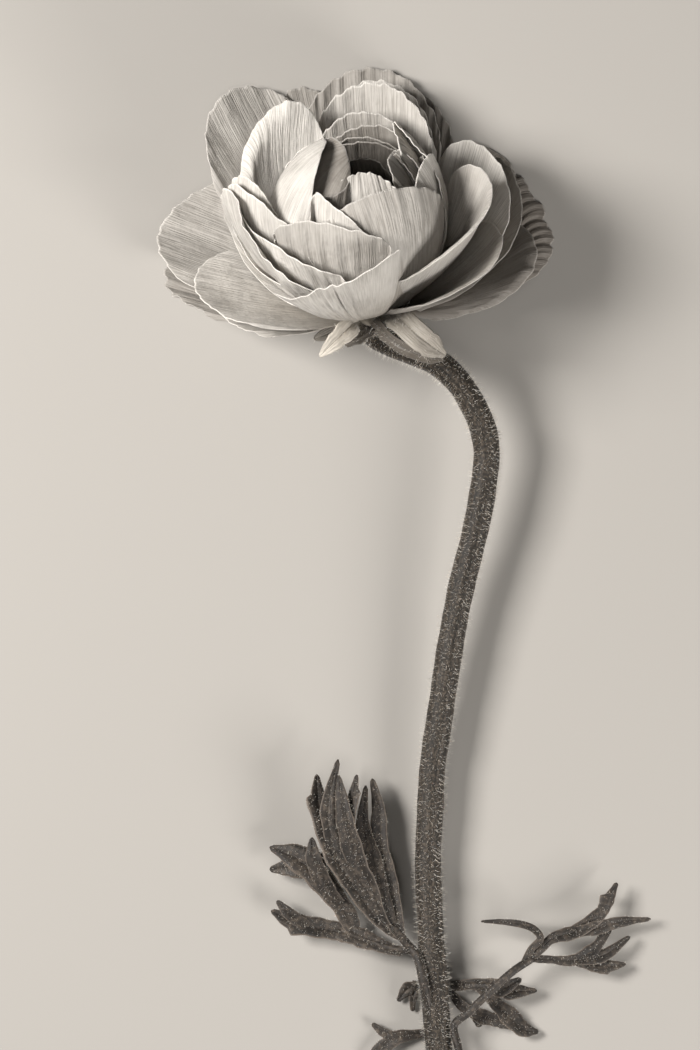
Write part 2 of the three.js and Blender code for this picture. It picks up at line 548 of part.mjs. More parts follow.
const bloomGrown = mainBody(bloomSolid(GAP));
const stemGrown = stemSolid(GAP);
const bloom = mainBody(bloomSolid(0));
const stem = clearOf(stemSolid(0), [bloomGrown]);
const heart = clearOf(heartRough(), [bloomGrown]);
const calyx = clearOf(calyxRough(), [bloomGrown, stemGrown]);
const leafLower = clearOf(leafSolid(LEAF_LOWER), [stemGrown]);
const leafRight = clearOf(leafSolid(LEAF_RIGHT), [stemGrown]);
const leafLeft = clearOf(leafSolid(LEAF_LEFT), [stemGrown]);

const flower = new THREE.Group();
flower.name = "ranunculus";
flower.add(
  meshOf("bloom", bloom, petalPaint),
  meshOf("heart", heart, heartPaint),
  meshOf("calyx", calyx, sepalPaint),
  meshOf("stem", stem, stemPaint),
  meshOf("leaf_left", leafLeft, leafPaint),
  meshOf("leaf_right", leafRight, leafPaint),
  meshOf("leaf_lower", leafLower, leafPaint),
);

export default flower;
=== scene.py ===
# %% [markdown]
# # A cut ranunculus, lying down
# The real flower is a many-petalled bloom on a hairy, curved stem with three deeply cut leaves.
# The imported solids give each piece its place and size. This lesson makes a finer petal, sepal,
# leaf and stem in the same places, and gives them veins, hairs and a soft, thin look.
# Lengths are typed in millimetres, as on the solids, and become metres when a mesh is made.

# %% Load the solids and set the frame
import math

import bpy
import numpy as np
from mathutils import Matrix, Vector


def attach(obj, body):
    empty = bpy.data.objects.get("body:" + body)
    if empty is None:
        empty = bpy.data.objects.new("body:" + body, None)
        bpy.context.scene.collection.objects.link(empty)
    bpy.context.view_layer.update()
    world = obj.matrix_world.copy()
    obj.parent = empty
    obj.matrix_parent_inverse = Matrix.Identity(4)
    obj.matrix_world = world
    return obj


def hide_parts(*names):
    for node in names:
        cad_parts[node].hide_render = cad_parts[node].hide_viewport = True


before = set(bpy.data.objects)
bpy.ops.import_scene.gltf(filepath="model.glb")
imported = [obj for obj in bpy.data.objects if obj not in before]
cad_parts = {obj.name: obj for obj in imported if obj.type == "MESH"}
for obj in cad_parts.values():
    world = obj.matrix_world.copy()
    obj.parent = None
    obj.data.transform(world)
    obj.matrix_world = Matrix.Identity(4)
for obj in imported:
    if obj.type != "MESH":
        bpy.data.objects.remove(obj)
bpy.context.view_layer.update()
print("solids:", ", ".join(sorted(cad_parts)))

# %% [markdown]
# Petals are set out round two things: the receptacle that they grow from, and the axis that the
# bloom faces along. The bloom lies on its back petals and looks up and along the stem, so the
# axis is raised from the table. Naming both once keeps every petal in the right place.

# %% The receptacle and the bloom's axis
PART_ORIGIN = np.array([12.7, -21.1, 0.0])
RECEPTACLE = np.array([4.5, 48.0, 21.0])
FACE_UP, FACE_LEFT = math.radians(32), math.radians(5)
AXIS = np.array(
    [
        -math.sin(FACE_LEFT) * math.cos(FACE_UP),
        math.cos(FACE_LEFT) * math.cos(FACE_UP),
        math.sin(FACE_UP),
    ]
)
CUP_CENTRE = RECEPTACLE + 24.6 * AXIS


def unit(vector):
    """The vector, or each of an array of them, at length one."""
    vector = np.asarray(vector, float)
    return vector / (np.linalg.norm(vector, axis=-1, keepdims=True) + 1e-12)


print("axis:", AXIS.round(3), "cup centre:", CUP_CENTRE.round(1))

# %% [markdown]
# The camera looks straight down on the lying flower, from about 1.2 m, with a long lens, so that
# the bloom isn't distorted. Its frame is 233 mm tall at the height of the receptacle.

# %% The camera
camera_data = bpy.data.cameras.new("camera")
camera_data.sensor_width = 36
camera_data.lens = 182.3
camera_data.clip_end = 10
camera = bpy.data.objects.new("camera", camera_data)
camera.location = (-0.0127, 0.0211, 1.2)
bpy.context.scene.collection.objects.link(camera)
bpy.context.scene.camera = camera
print("camera height (m):", camera.location.z)

# %% [markdown]
# The main light comes from high on the left, as a window would give it, so that each petal shades
# the next and the cup stays dark inside. A weaker one from the lower right lifts the front petals,
# and a small one from above opens the shadows a little.

# %% Lights and world
LAMP_COLOR = (1.0, 0.97, 0.93)
SKY_COLOR = (0.9, 0.87, 0.83, 1)
SKY_STRENGTH = 0.02


def soft_light(name, place, aim, side, watts):
    """A square area light at place, turned to aim, all in metres."""
    data = bpy.data.lights.new(name, "AREA")
    data.shape = "SQUARE"
    data.size = side
    data.energy = watts
    data.color = LAMP_COLOR
    light = bpy.data.objects.new(name, data)
    light.location = place
    direction = Vector(aim) - Vector(place)
    light.rotation_euler = direction.to_track_quat("-Z", "Y").to_euler()
    bpy.context.scene.collection.objects.link(light)
    print(f"{name}: {watts} W from {place}")


soft_light("window_light", (-0.55, 0.18, 0.62), (-0.01, 0.09, 0.03), 0.3, 12.0)
soft_light("camera_fill", (-0.1, -0.1, 1.15), (0.0, 0.05, 0.0), 0.35, 2.0)
soft_light("front_light", (0.5, -0.45, 0.35), (0.0, 0.06, 0.03), 0.3, 6.0)

world = bpy.data.worlds.new("studio")
bpy.context.scene.world = world
world.use_nodes = True
sky = world.node_tree.nodes["Background"]
sky.inputs["Color"].default_value = SKY_COLOR
sky.inputs["Strength"].default_value = SKY_STRENGTH
bpy.context.scene.view_settings.view_transform = "Standard"

# %% [markdown]
# The floor is one large pale sheet at height 0, where the flower lies. It is no part of the flower.

# %% The floor
FLOOR_REACH = 3
FLOOR_COLOR = (0.34, 0.324, 0.304, 1)
floor_mesh = bpy.data.meshes.new("floor")
corners = [(x * FLOOR_REACH, y * FLOOR_REACH, 0) for x, y in ((-1, -1), (1, -1), (1, 1), (-1, 1))]
floor_mesh.from_pydata(corners, [], [(0, 1, 2, 3)])
floor = bpy.data.objects.new("floor", floor_mesh)
bpy.context.scene.collection.objects.link(floor)
floor_material = bpy.data.materials.new("pale_floor")
floor_material.use_nodes = True
floor_shader = floor_material.node_tree.nodes["Principled BSDF"]
floor_shader.inputs["Base Color"].default_value = FLOOR_COLOR
floor_shader.inputs["Roughness"].default_value = 0.8
floor_mesh.materials.append(floor_material)
print("floor reaches (m):", FLOOR_REACH)

# %% [markdown]
# A mesh here is made from arrays: points in millimetres, faces, a UV map that follows the blade,
# and a number for each point that its material reads. One helper turns them into a finished piece
# with its object at the origin, as the solids have it.

# %% From arrays to a piece


def link_piece(name, mesh):
    """An object for the mesh, at the origin of the scene."""
    piece = bpy.data.objects.new(name, mesh)
    bpy.context.scene.collection.objects.link(piece)
    return piece


def mesh_from(name, points, faces, uvs=None, numbers=None, material=None):
    """A smooth mesh. uvs has a pair for each point, numbers is {attribute: value per point}."""
    mesh = bpy.data.meshes.new(name)
    mesh.from_pydata(((points - PART_ORIGIN) / 1000).tolist(), [], [tuple(f) for f in faces])
    mesh.polygons.foreach_set("use_smooth", [True] * len(mesh.polygons))
    loops = np.empty(len(mesh.loops), int)
    mesh.loops.foreach_get("vertex_index", loops)
    if uvs is not None:
        layer = mesh.uv_layers.new(name="blade")
        layer.data.foreach_set("uv", np.asarray(uvs, float)[loops].ravel())
    for key, values in (numbers or {}).items():
        attribute = mesh.attributes.new(key, "FLOAT", "POINT")
        attribute.data.foreach_set("value", np.asarray(values, float))
    if material:
        mesh.materials.append(material)
    mesh.update()
    return mesh


def dress(piece, node):
    """The piece stands for the node, whose solid is hidden, and rides on the flower's one body."""
    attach(piece, "root")
    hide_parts(node)
    triangles = sum(len(p.vertices) - 2 for p in piece.data.polygons)
    print(f"{piece.name}: {triangles} triangles, for {node}")


# %% [markdown]
# A thin blade has two faces and a rim. The faces are one grid laid twice, a little apart, and the
# rim is a ring of quads. The grid is closed into one body, so that light meets a real thickness.

# %% A closed thin blade


def close_blade(middle, thickness):
    """Points and faces of a body round a grid of middle points; thickness is one per point."""
    rows, columns = middle.shape[:2]
    across = np.gradient(middle, axis=1)
    along = np.gradient(middle, axis=0)
    normal = unit(np.cross(across, along))
    half = (thickness / 2)[..., None] * normal
    points = np.concatenate([(middle + half).reshape(-1, 3), (middle - half).reshape(-1, 3)])
    index = np.arange(rows * columns).reshape(rows, columns)
    a, b = index[:-1, :-1].ravel(), index[:-1, 1:].ravel()
    c, d = index[1:, 1:].ravel(), index[1:, :-1].ravel()
    back = rows * columns
    faces = np.concatenate(
        [np.stack([a, b, c, d], 1), np.stack([a + back, d + back, c + back, b + back], 1)]
    )
    rim = np.concatenate([index[0, :-1], index[:-1, -1], index[-1, :0:-1], index[:0:-1, 0]])
    nxt = np.roll(rim, -1)
    faces = np.concatenate([faces, np.stack([rim, rim + back, nxt + back, nxt], 1)])
    return points, faces


def stack(parts):
    """Several (points, faces, uvs, numbers) as one."""
    offset, points, faces, uvs, numbers = 0, [], [], [], {}
    for p, f, uv, n in parts:
        points.append(p)
        faces.append(f + offset)
        uvs.append(uv)
        for key, values in n.items():
            numbers.setdefault(key, []).append(values)
        offset += len(p)
    joined = {key: np.concatenate(values) for key, values in numbers.items()}
    return np.concatenate(points), np.concatenate(faces), np.concatenate(uvs), joined


# %% [markdown]
# A path through a few typed points gives the middle of the stem, of each leaf stalk and of each lobe.
# The solids use the centripetal kind of smooth curve, so the same one is used here.

# %% A smooth path


def smooth_path(points, count):
    """count points, evenly in the curve's own parameter, on the centripetal curve through the given ones."""
    p = np.array(points, float)
    first, last = 2 * p[0] - p[1], 2 * p[-1] - p[-2]
    p = np.vstack([first, p, last])
    out = []
    for u in np.linspace(0, len(points) - 1, count):
        k = min(int(u), len(points) - 2)
        f = u - k
        a, b, c, d = p[k], p[k + 1], p[k + 2], p[k + 3]
        steps = [max(np.linalg.norm(q - r) ** 0.5, 1e-4) for q, r in ((b, a), (c, b), (d, c))]
        t0, t1, t2 = steps
        m1 = ((b - a) / t0 - (c - a) / (t0 + t1) + (c - b) / t1) * t1
        m2 = ((c - b) / t1 - (d - b) / (t1 + t2) + (d - c) / t2) * t1
        out.append(b + f * m1 + f * f * (3 * (c - b) - 2 * m1 - m2) + f**3 * (2 * (b - c) + m1 + m2))
    return np.array(out)


# %% [markdown]
# A real petal grows from a narrow claw, bends along its length and cups across it. Its veins leave
# the claw and fan out to the margin. So a petal's grid is a fan: one way runs from claw to margin,
# the other round the margin. Its margin is thin, a little waved and nicked, and that grows with age,
# so the outer petals get more of it.

# %% Where a petal starts and how it bends
PETAL_THICK = 0.34
CLAW_RING = 3.5
INNER_CLAW_RING = 2


def petal_frame(petal):
    """Where the petal starts, its three directions and its bend."""
    tip = np.array(petal["tip"], float)
    rise = petal.get("rise", 0)
    start = RECEPTACLE + rise * AXIS
    out = tip - start
    out = unit(out - out @ AXIS * AXIS)
    start = start + out * (INNER_CLAW_RING if rise else CLAW_RING)
    chord = tip - start
    length = np.linalg.norm(chord)
    y = chord / length
    inward = CUP_CENTRE - (start + tip) / 2
    inward = unit(inward - inward @ y * y)
    turn = math.radians(petal.get("turn", 0))
    inward = inward * math.cos(turn) + np.cross(y, inward) * math.sin(turn)
    bend = math.radians(petal["curl"])
    return start, np.cross(y, inward), y, inward, bend, length / 2 / math.sin(bend / 2)


def rows_along(rows):
    """Where the rows lie from claw to margin: closer together near the margin."""
    q = np.linspace(0, 1, rows)[:, None]
    return q * (1.6 - 0.6 * q)


# %% [markdown]
# There are two ways to set a petal out. Most are given by tip, width, curl and cup, and their
# outline is a rounded fan. Where the real margin shows as a line of its own, the petal is given by
# that line, and each vein is then an arc from the claw to its place on the line.

# %% Two ways to set out a petal
NECK = 0.18


def fan_middle(petal, rows, columns):
    """Middle points and inward directions of a petal set out by its tip, width, curl and cup."""
    start, x, y, inward, bend, radius = petal_frame(petal)
    angle = np.linspace(-math.pi / 2, math.pi / 2, columns)[None, :]
    t = rows_along(rows)
    shoulder = petal.get("shoulder", 0.6)
    margin = (shoulder + (1 - shoulder) * np.cos(angle)) * (1 + petal.get("skew", 0) * np.sin(angle))
    s = t * margin
    spread = NECK + (1 - NECK) * np.sin(math.pi / 2 * t**0.9)
    side = petal["wide"] / 2 * spread * np.sin(angle) + petal.get("bow", 0) * np.sin(math.pi * s)
    a = -bend / 2 + bend * s
    across = side / petal["cup"]
    normal = np.cos(a)[..., None] * inward - np.sin(a)[..., None] * y
    cupped = np.cos(across)[..., None] * normal - np.sin(across)[..., None] * x
    middle = (
        start
        + (radius * (np.sin(a) + math.sin(bend / 2)))[..., None] * y
        + (radius * (math.cos(bend / 2) - np.cos(a)))[..., None] * inward
        + (np.sin(across) * petal["cup"])[..., None] * x
        + ((1 - np.cos(across)) * petal["cup"])[..., None] * normal
    )
    return middle, cupped


def rim_middle(petal, rows, columns):
    """Middle points and inward directions of a petal set out by its rim: each vein is an arc to it."""
    rim = smooth_path(petal["rim"], columns)
    out = rim - RECEPTACLE
    out = unit(out - (out @ AXIS)[:, None] * AXIS)
    start = RECEPTACLE + CLAW_RING * out
    chord = rim - start
    length = np.linalg.norm(chord, axis=1)
    y = unit(chord)
    toward = CUP_CENTRE - (start + rim) / 2
    inward = unit(toward - (toward * y).sum(1)[:, None] * y)
    seen = (unit(start - CUP_CENTRE) * unit(rim - CUP_CENTRE)).sum(1)
    bend = np.linspace(*petal.get("full", (1, 1)), columns) * np.arccos(np.clip(seen, -1, 1))
    radius = length / 2 / np.sin(bend / 2)
    t = rows_along(rows)
    a = -bend / 2 + bend * t
    middle = (
        start
        + (radius * (np.sin(a) + np.sin(bend / 2)))[..., None] * y
        + (radius * (np.cos(bend / 2) - np.cos(a)))[..., None] * inward
    )
    return middle, np.cos(a)[..., None] * inward - np.sin(a)[..., None] * y


# %% [markdown]
# A smooth fan would look like a spoon. The margin gets waves, nicks and a thin lip, the middle gets
# ripples and dents, and a few petals are pleated like a skirt or have part of their margin rolled
# outwards. All of it is made of sine waves, with phases that depend on the petal's own number.

# %% Waves, dents, pleats and rolls
GOLDEN_ANGLE = 2.399


def waves(angle, seed, counts=(7, 13, 21)):
    """A wave round the margin that never repeats on the next petal."""
    phases = [GOLDEN_ANGLE * seed * (k + 1) for k in range(len(counts))]
    shares = (1.0, 0.5, 0.22)
    return sum(s * np.sin(n * angle + p) for s, n, p in zip(shares, counts, phases)) / 2


def crumpled(angle, t, seed):
    """Shallow dents all over a petal: a few crossed waves with their own directions."""
    dents = 0
    for k, (across, along) in enumerate([(6, 9), (-8, 11), (11, -7), (9, 16), (-15, 9), (17, 13)]):
        dents = dents + np.sin(across * angle + along * t + 1.7 * seed * (k + 1) + k) / (1 + 0.25 * k)
    return dents / 2


def window(angle, centre, spread):
    """1 at the centre angle of the margin, falling off over the spread, both in degrees."""
    return np.exp(-(((angle - math.radians(centre)) / math.radians(spread)) ** 2))


def rolled(middle, inner, t, angle, degrees, share, centre, spread):
    """Bends the last share of the petal outwards, most at the centre angle of its margin."""
    first = int(np.searchsorted(t[:, 0], 1 - share))
    turn = np.maximum(math.radians(degrees) * window(angle, centre, spread), 0.02).T
    ahead = unit(middle[first] - middle[first - 1])
    away = -unit(inner[first])
    length = np.linalg.norm(np.diff(middle[first:], axis=0), axis=2).sum(0)[:, None]
    out = middle.copy()
    for row in range(first, len(middle)):
        q = (t[row, 0] - t[first, 0]) / (1 - t[first, 0])
        out[row] = middle[first] + length / turn * (
            np.sin(turn * q) * ahead + (1 - np.cos(turn * q)) * away
        )
    return out


def lifts(petal, angle, t, seed):
    """How far each point stands in from the petal's smooth shape, in mm."""
    lift = petal.get("ruffle", 0.3) * t**3 * waves(angle, seed)
    lift = lift + petal.get("ripple", 0.25) * np.sin(math.pi * t) * np.sin(5 * angle + seed) * t
    lift = lift + petal.get("crinkle", 0.1) * t**7 * waves(angle, seed + 2, (27, 43, 61))
    lift = lift + petal.get("crumple", 0.1) * crumpled(angle, t, seed) * np.sin(math.pi / 2 * t)
    if "pleat" in petal:
        size, count, centre, spread = petal["pleat"]
        pleats = size * window(angle, centre, spread) * np.sin(count * angle + seed)
        lift = lift + pleats * np.sin(math.pi * t**1.5 * 0.8)
    return lift - petal.get("lip", 0.5) * t**9


# %% [markdown]
# The lowest petals lie on the table. Where one would reach into it, it is raised softly, as a real
# petal gives way. Then the two faces of the thin blade are made, with the numbers that its material
# reads: how far along it is, its shade, which is its tone and often painted shade or painted light, its
# own number, its margin's length and which face is inner, with the petal's deep on that face for the
# painted shade towards the claw.

# %% A petal's grid and body
TABLE_GAP = 0.15
LOW_PART = 8
GIVE = 0.8


def off_table(middle):
    """Raises the low part of a petal softly, so that it lies on the table and not in it."""
    z = middle[..., 2]
    low = PETAL_THICK / 2 + TABLE_GAP
    raised = low + GIVE * np.log1p(np.exp(np.clip((z - low) / GIVE, -40, 40)))
    middle[..., 2] = np.where(z > LOW_PART, z, raised)
    return middle


def petal_grid(petal, seed, rows, columns):
    """Middle points of the petal from claw to margin, with its ruffle, nicks, pleats and roll."""
    set_out = rim_middle if "rim" in petal else fan_middle
    middle, inner = set_out(petal, rows, columns)
    angle = np.linspace(-math.pi / 2, math.pi / 2, columns)[None, :]
    t = rows_along(rows)
    if "roll" in petal:
        middle = rolled(middle, inner, t, angle, *petal["roll"])
        turned_in = unit(np.cross(np.gradient(middle, axis=1), np.gradient(middle, axis=0)))
        inner = turned_in * np.sign((turned_in * inner)[rows // 2].sum())
    ragged = petal.get("ragged", 0.55)
    reach = 0.012 * ragged * waves(angle, seed + 5, (23, 41, 67)) * t**2
    middle = middle + reach[..., None] * (middle[-1:] - middle[:1])
    middle = middle + lifts(petal, angle, t, seed)[..., None] * inner
    return off_table(middle)


def inner_first(middle):
    """1 if a grid's normals point at the cup's centre, as on a petal laid out from right to left."""
    row = len(middle) // 2
    normal = np.cross(np.gradient(middle, axis=1), np.gradient(middle, axis=0))[row]
    return float(((CUP_CENTRE - middle[row]) * normal).sum() > 0)


def petal_body(petal, seed, rows, columns):
    """A petal as (points, faces, uvs, numbers)."""
    middle = petal_grid(petal, seed, rows, columns)
    t = rows_along(rows) * np.ones((1, columns))
    u = np.ones((rows, 1)) * np.linspace(0, 1, columns)[None, :]
    points, faces = close_blade(middle, PETAL_THICK * (1 - 0.45 * t**4))
    points[:, 2] = np.maximum(points[:, 2], 0.0)
    uvs = np.stack([u.ravel(), t.ravel()], 1)
    uvs = np.concatenate([uvs, uvs])
    count = len(points)
    margin = np.linalg.norm(np.diff(middle[-1], axis=0), axis=1).sum()
    faces_in = inner_first(middle)
    numbers = {
        "along": uvs[:, 1],
        # shade: the petal's tone, and on many petals painted shade or painted light as well
        "shade": np.full(count, petal.get("shade", 0.62)),
        "seed": np.full(count, seed * 3.7),
        "margin": np.full(count, margin),
        # inside: deep on the inner face and 0 on the outer, how much painted shade darkens the face towards
        # the claw
        "inside": petal.get("deep", 1) * np.repeat([faces_in, 1 - faces_in], count // 2),
    }
    return points, faces, uvs, numbers


# %% [markdown]
# The petals come in layers, from the small ones over the heart to the wide outer ones. Each line is
# one petal: the place of its tip, its width, the degrees that it curls and the radius that it cups to.
# Some are turned, skewed or bowed, and the outer ones are more ruffled, as they have been open longest.
# A petal whose margin shows as a line of its own is given by that line, its rim, and by how full it
# is at the two ends of the rim: 1 follows a round cup and less is flatter. A petal's shade is its tone,
# and also painted shade on petals that lie in the bloom's shade, as in the cup and on the right, or
# painted light on a few lit ones; deep is how much painted shade darkens its inner face towards the claw.

# %% The layers of the bloom
heart_petals = [
    dict(tip=(2.5, 80, 33), wide=15, curl=110, cup=9, rise=3, shoulder=0.7, shade=0.2),
    dict(tip=(10, 80.5, 37), wide=13, curl=105, cup=10.5, rise=3, shoulder=0.7, shade=0.2),
    dict(tip=(8, 79.5, 41.5), wide=13, curl=110, cup=10.5, rise=3, shoulder=0.75, shade=0.3),
    dict(rim=[(-5.5, 65.5, 43), (-4, 71, 44), (-1, 75, 44.5), (2.5, 76.5, 45), (6.5, 75.5, 45.5),
              (9.5, 73, 45), (11.5, 65.5, 41)], full=(0.6, 0.45), ruffle=0.25, crinkle=0.3, ragged=1.0),
    dict(rim=[(-10, 66, 44.3), (-10.3, 72, 43.8), (-9, 77.5, 42.3), (-7, 81.5, 40.6), (-4.5, 84, 40),
              (-1.5, 82.5, 41.3), (0, 78.5, 43), (0, 74.5, 44.5), (-2.5, 71.5, 46.5), (-6, 70.5, 47.1),
              (-7, 65, 45.8)], full=(0.92, 0.92), shade=0.25),
]
cup_petals = [
    dict(tip=(2.2, 84, 29), wide=27, curl=106, cup=15.6, rise=2, shoulder=0.7, ruffle=0.15,
         shade=0.2, deep=1.8),
    dict(tip=(1.5, 85, 28), wide=30, curl=106, cup=16.4, rise=2, shoulder=0.7, ruffle=0.15,
         shade=0.25, deep=1.8),
    dict(tip=(11.5, 81.5, 33.5), wide=17, curl=98, cup=13, rise=3, shoulder=0.7, shade=0.4),
    dict(rim=[(-8, 52, 20), (-13.5, 60, 25), (-15.3, 69, 30), (-14.8, 74.2, 32.5), (-13, 79, 33.5),
              (-9.8, 82.3, 36), (-5, 83.3, 41.4), (-6.1, 79.8, 45.2), (-7.4, 75, 47.6), (-8, 70.7, 48.4),
              (-8.2, 65.9, 48), (-7.5, 58, 46), (-3, 49, 36)], shade=0.8, ruffle=0.2, crumple=0.12),
    dict(rim=[(-6, 53, 42), (-8.8, 61, 45), (-9, 67, 48), (-7, 72, 49), (-3.5, 69, 51.5),
              (0.5, 66, 52.5), (4.5, 61, 51), (6, 54, 44)], full=(0.62, 0.55), shade=0.85),
    dict(tip=(16.3, 80, 34), wide=19, curl=90, cup=17.8, shade=0.4),
    dict(rim=[(12, 71, 40), (11.5, 78, 37), (10.5, 84, 34), (9.5, 88.5, 31), (11.5, 86.5, 33),
              (14, 83.5, 34.5), (17, 80, 34.5), (19.5, 72.5, 30)], shade=0.85, ruffle=0.1, lip=0),
    dict(rim=[(11, 63, 42), (13.5, 72, 43.5), (15, 78, 40), (17.5, 81, 36), (19, 78, 34),
              (19.5, 73, 33), (18.5, 66.5, 33)], full=(0.9, 0.75), shade=0.75, ruffle=0.1),
    dict(tip=(8.5, 72.5, 50.5), wide=36, curl=98, cup=17.4, shoulder=0.8, skew=0.05, ruffle=0.4, crinkle=0.3,
         shade=0.5),
]
back_petals = [
    dict(tip=(4.5, 88, 25), wide=26, curl=84, cup=18.5, shoulder=0.7, ruffle=0.2, shade=0.3),
    dict(tip=(2.5, 91.5, 20), wide=24, curl=64, cup=21, shoulder=0.7, ruffle=0.25, shade=0.55),
    dict(tip=(4.5, 98.5, 14), wide=29, curl=56, cup=24, shoulder=0.65, ruffle=0.35, ragged=1.0, shade=0.65),
    dict(tip=(5.5, 99.5, 9.5), wide=28, curl=50, cup=28, shoulder=0.65, ruffle=0.4, ragged=0.9),
    dict(tip=(4, 103, 1.5), wide=33, curl=40, cup=32, shoulder=0.65, ruffle=0.6, ragged=0.8, crinkle=0.5,
         shade=0.35, deep=1.6),
    dict(tip=(15.5, 96.5, 0.5), wide=22, curl=50, cup=28, ruffle=0.7, ragged=0.8, crinkle=0.4,
         shade=0.25, deep=2.2),
    dict(tip=(-14.5, 93.5, 22), wide=24.5, curl=40, cup=20, shoulder=0.55, bow=-7, lip=0,
         roll=(75, 0.12, -55, 45), shade=1.0, turn=-16),
    dict(tip=(-26, 98, 6), wide=32, curl=26, cup=80, ruffle=0.6, ripple=0.5),
    dict(tip=(-12, 98.5, 0.5), wide=22, curl=50, cup=35, shoulder=0.65, ruffle=0.8, ragged=0.8, crinkle=0.5,
         shade=0.3),
]
left_petals = [
    dict(tip=(-39.6, 70.5, 12), wide=38.5, curl=15, cup=45, shoulder=0.62, turn=-18, bow=3,
         skew=-0.05, ruffle=0.7, ripple=0.5),
    dict(tip=(-40.5, 60, 1), wide=28, curl=26, cup=45, turn=-8, ruffle=0.9, ragged=1.0,
         crinkle=0.5, shade=0.35),
    dict(tip=(-34, 53.5, 30), wide=25, curl=25, cup=26, turn=-14, bow=1, ruffle=0.35, shade=0.8),
    dict(tip=(-28, 48.5, 21), wide=20, curl=24, cup=30, turn=-8, ruffle=0.7),
]
front_petals = [
    dict(rim=[(-13.5, 56.5, 24), (-23, 66, 26), (-26, 72.5, 33), (-25, 75.5, 39), (-22.5, 76, 42),
              (-20, 74, 43), (-17.5, 71, 43), (-15, 67, 43), (-11, 60, 42)], full=(1, 0.7), shade=0.85),
    dict(rim=[(-9, 51.5, 30), (-19.5, 58, 28), (-25, 66, 32), (-26.5, 72, 37), (-24.5, 74.5, 42),
              (-21.5, 72, 44.5), (-18.5, 70, 46.3), (-16, 67.5, 46.5), (-13, 65, 47), (-10, 60.5, 47),
              (-4.5, 52.5, 42)], full=(1, 0.6), shade=0.85),
    dict(rim=[(-4.5, 50.5, 36), (-13, 56.5, 42), (-16, 62, 45.5), (-16, 64, 46.5), (-12.5, 65.5, 49.5),
              (-6.5, 65.5, 52.5), (0, 64, 54.5), (5.5, 62.5, 54), (8.5, 60.5, 52.5), (8, 57, 48.5),
              (5, 52, 43), (1, 48, 34)], full=(0.85, 0.5), shade=0.55, ragged=1.2,
         crinkle=0.3, pleat=(0.4, 38, -8, 20)),
    dict(rim=[(-6.5, 49.5, 34), (-19.5, 56, 30), (-24.5, 64.5, 33), (-26, 70, 37), (-24.5, 70, 40),
              (-21.5, 65.5, 44), (-17.5, 61.5, 47), (-11, 57.5, 50.5), (-5.5, 55.5, 51.5),
              (-1, 53, 50.5), (1.5, 49, 44)], full=(0.95, 0.5), shade=0.85, ripple=0.4,
         crumple=0.3, pleat=(0.24, 34, 45, 45)),
    dict(rim=[(-2.5, 47.5, 30), (-13.5, 50, 24), (-23, 58, 24), (-27, 67, 27), (-27.5, 71.5, 34),
              (-26.5, 73.5, 40), (-24.5, 71, 44.5), (-23, 66, 45.5), (-20.5, 62, 46.5), (-17, 57, 47.5),
              (-13, 53.5, 48), (-8, 51, 48), (-3.5, 49, 44)], full=(1, 0.45), shade=0.8, ripple=0.5,
         crumple=0.28, pleat=(0.3, 34, 35, 45)),
    dict(rim=[(-1, 46, 30), (-9, 47.5, 36), (-13.5, 49.5, 40), (-16, 51, 42), (-11.5, 49.5, 47),
              (-5.5, 51.5, 53.5), (-1, 52.5, 55.5), (4.5, 55.5, 57), (9, 58.5, 56.5), (10.5, 59.5, 55.5),
              (8.8, 55.5, 51), (5.5, 51.5, 44), (1.5, 47, 33)], full=(0.62, 0.55), shade=0.66, ripple=0.4,
         pleat=(0.85, 38, -14, 15)),
]
